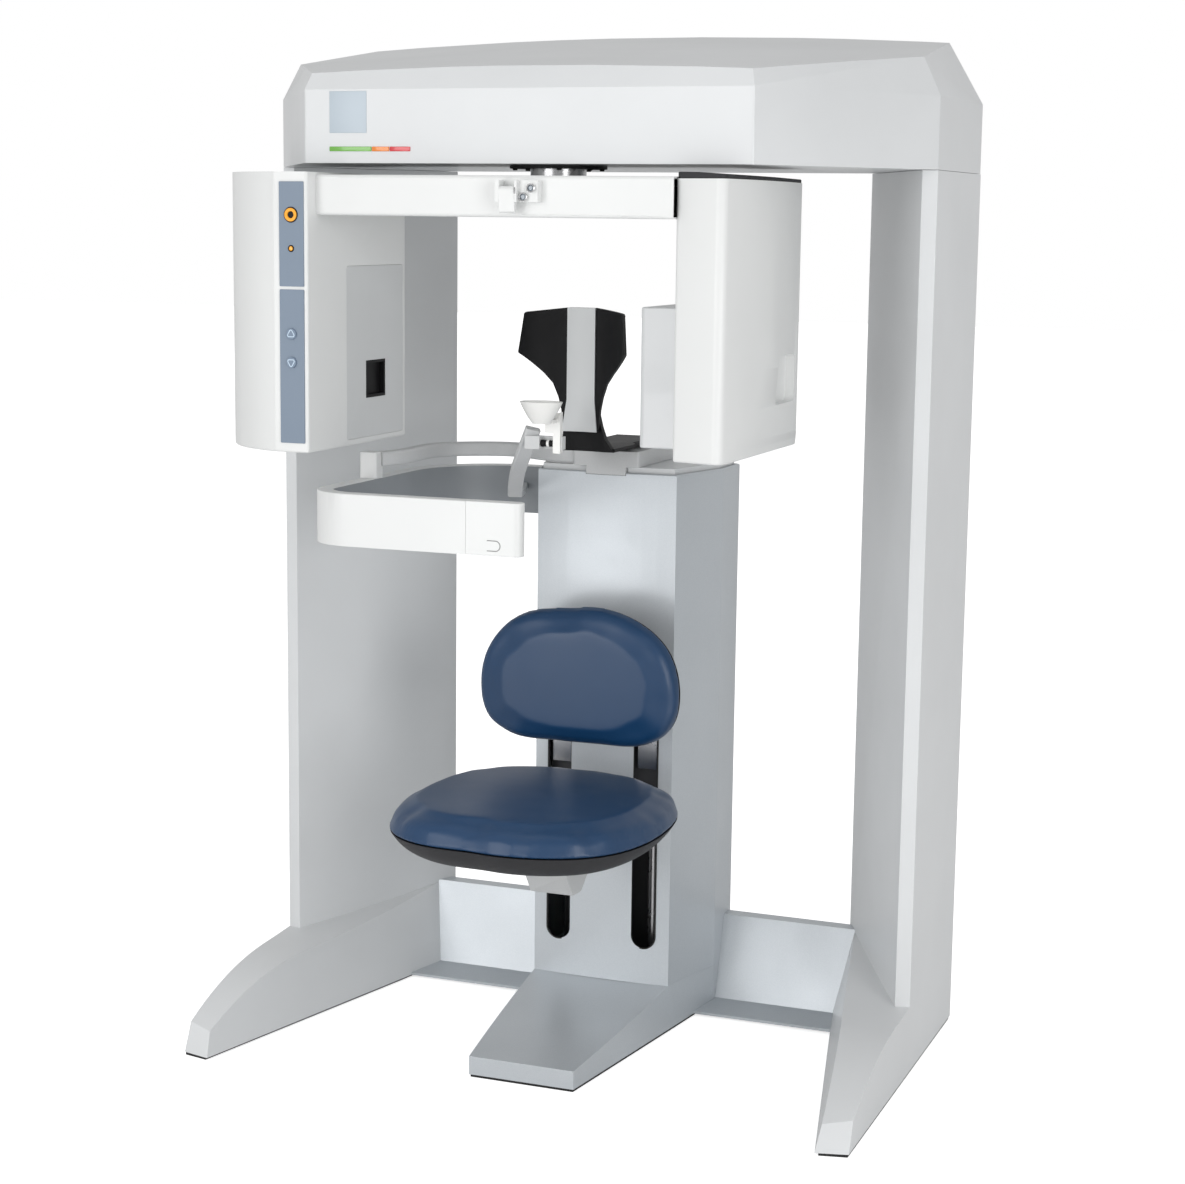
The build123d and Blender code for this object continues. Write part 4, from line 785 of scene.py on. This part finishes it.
# %% Bright rings and lenses of the alignment light
light_front = -0.2552
light_spots = ((0.043, light_front, 1.514), (0.056, light_front, 1.528))
knob_spot = (0.030, -0.256, 1.524)
ring_profile = [(0.0052, 0), (0.0052, 0.0026), (0.0062, 0.0032), (0.0072, 0.0024), (0.0072, 0)]
knob_profile = [(0.0062, 0), (0.0062, 0.0016), (0.0074, 0.0022), (0.0084, 0)]
lens_profile = [(0, 0.0022), (0.003, 0.0018), (0.0051, 0)]
rings = bmesh.new()
for spot in light_spots:
    turn(rings, ring_profile, spot, "-Y", steps=32)
turn(rings, knob_profile, knob_spot, "+X", steps=32)
add_piece("light_rings", outward(rings), "gantry", "steel_bright")
lenses = bmesh.new()
for spot in light_spots:
    turn(lenses, lens_profile, spot, "-Y", steps=32)
add_piece("light_lenses", outward(lenses), "gantry", "lens_clear", clear)

# %% [markdown]
# ## Stage, light and camera
# A white floor that runs out to a white backdrop, with large soft lights from the front left and
# from the right, a weak one overhead and a small low one that lays a glint on the column, as in a
# product studio. The floor glows for the camera alone, so it stays white and only the contact
# shadows show.

# %% Floor
floor_glow = 0.72
floor_shape = bmesh.new()
bmesh.ops.create_grid(floor_shape, x_segments=2, y_segments=2, size=30)
floor_mesh = bpy.data.meshes.new("floor")
floor_shape.to_mesh(floor_mesh)
floor_shape.free()
floor = bpy.data.objects.new("floor", floor_mesh)
scene.collection.objects.link(floor)
floor.location.z = -0.0005
white_table = finish_of("Studio Floor", (0.9, 0.9, 0.9), 0.6, 0.7, drift=0.995)
table_surface = white_table.node_tree.nodes["Principled BSDF"]
table_surface.inputs["Emission Color"].default_value = (1, 1, 1, 1)
glow = white_table.node_tree.nodes.new("ShaderNodeLightPath")
strength = white_table.node_tree.nodes.new("ShaderNodeMapRange")
strength.inputs["To Max"].default_value = floor_glow
table_links = white_table.node_tree.links
table_links.new(glow.outputs["Is Camera Ray"], strength.inputs["Value"])
table_links.new(strength.outputs["Result"], table_surface.inputs["Emission Strength"])
table_surface.inputs["Specular IOR Level"].default_value = 0.1
floor_mesh.materials.append(white_table)


# %% Lights
def softbox(name, place, aim, size, power):
    """A rectangular area light, of a size in metres and a power in watts."""
    light = bpy.data.lights.new(name, "AREA")
    light.shape = "RECTANGLE"
    light.size, light.size_y = size
    light.energy = power
    lamp = bpy.data.objects.new(name, light)
    lamp.location = place
    lamp.rotation_euler = (Vector(aim) - Vector(place)).to_track_quat("-Z", "Y").to_euler()
    scene.collection.objects.link(lamp)


softbox("key", (-1.5, -4.2, 2.1), (0, 0, 0.95), (2.6, 2.2), 52)
softbox("fill", (3.4, -2.6, 1.4), (0.3, 0.2, 0.7), (1.6, 2.4), 52)
softbox("top", (-0.6, -0.4, 4.6), (0, 0, 0), (2.4, 2.4), 8)
softbox("glint", (-1.35, -3.5, 0.5), (0, 0.24, 0.92), (0.55, 0.75), 11)

# %% [markdown]
# The backdrop is seen pure white, but it lights the machine with less than that, or every face
# would come out equally bright. A Light Path node tells the two apart.

# %% World
level_for_light = 0.58
level_for_eye = 1.0
world = bpy.data.worlds.new("studio")
scene.world = world
world.use_nodes = True
backdrop = world.node_tree.nodes["Background"]
backdrop.inputs["Color"].default_value = (1, 1, 1, 1)
path = world.node_tree.nodes.new("ShaderNodeLightPath")
level_of = world.node_tree.nodes.new("ShaderNodeMapRange")
level_of.inputs["To Min"].default_value = level_for_light
level_of.inputs["To Max"].default_value = level_for_eye
world.node_tree.links.new(path.outputs["Is Camera Ray"], level_of.inputs["Value"])
world.node_tree.links.new(level_of.outputs["Result"], backdrop.inputs["Strength"])
scene.view_settings.view_transform = "Standard"

# %% Camera
camera_place = Vector((1.5141, -3.7573, 1.4837))
turn_left = math.radians(21.023)
look_down = math.radians(8.969)
roll = math.radians(0.688)
ahead = Vector((
    -math.sin(turn_left) * math.cos(look_down),
    math.cos(turn_left) * math.cos(look_down),
    -math.sin(look_down),
))
level = Vector((math.cos(turn_left), math.sin(turn_left), 0))
upright = level.cross(ahead)
right = math.cos(roll) * level + math.sin(roll) * upright
above = math.cos(roll) * upright - math.sin(roll) * level
lens = bpy.data.cameras.new("camera")
lens.lens = 72.13
lens.sensor_width = 36.0
camera = bpy.data.objects.new("camera", lens)
camera.matrix_world = Matrix.Translation(camera_place) @ Matrix(
    (right, above, -ahead)
).transposed().to_4x4()
scene.collection.objects.link(camera)
scene.camera = camera
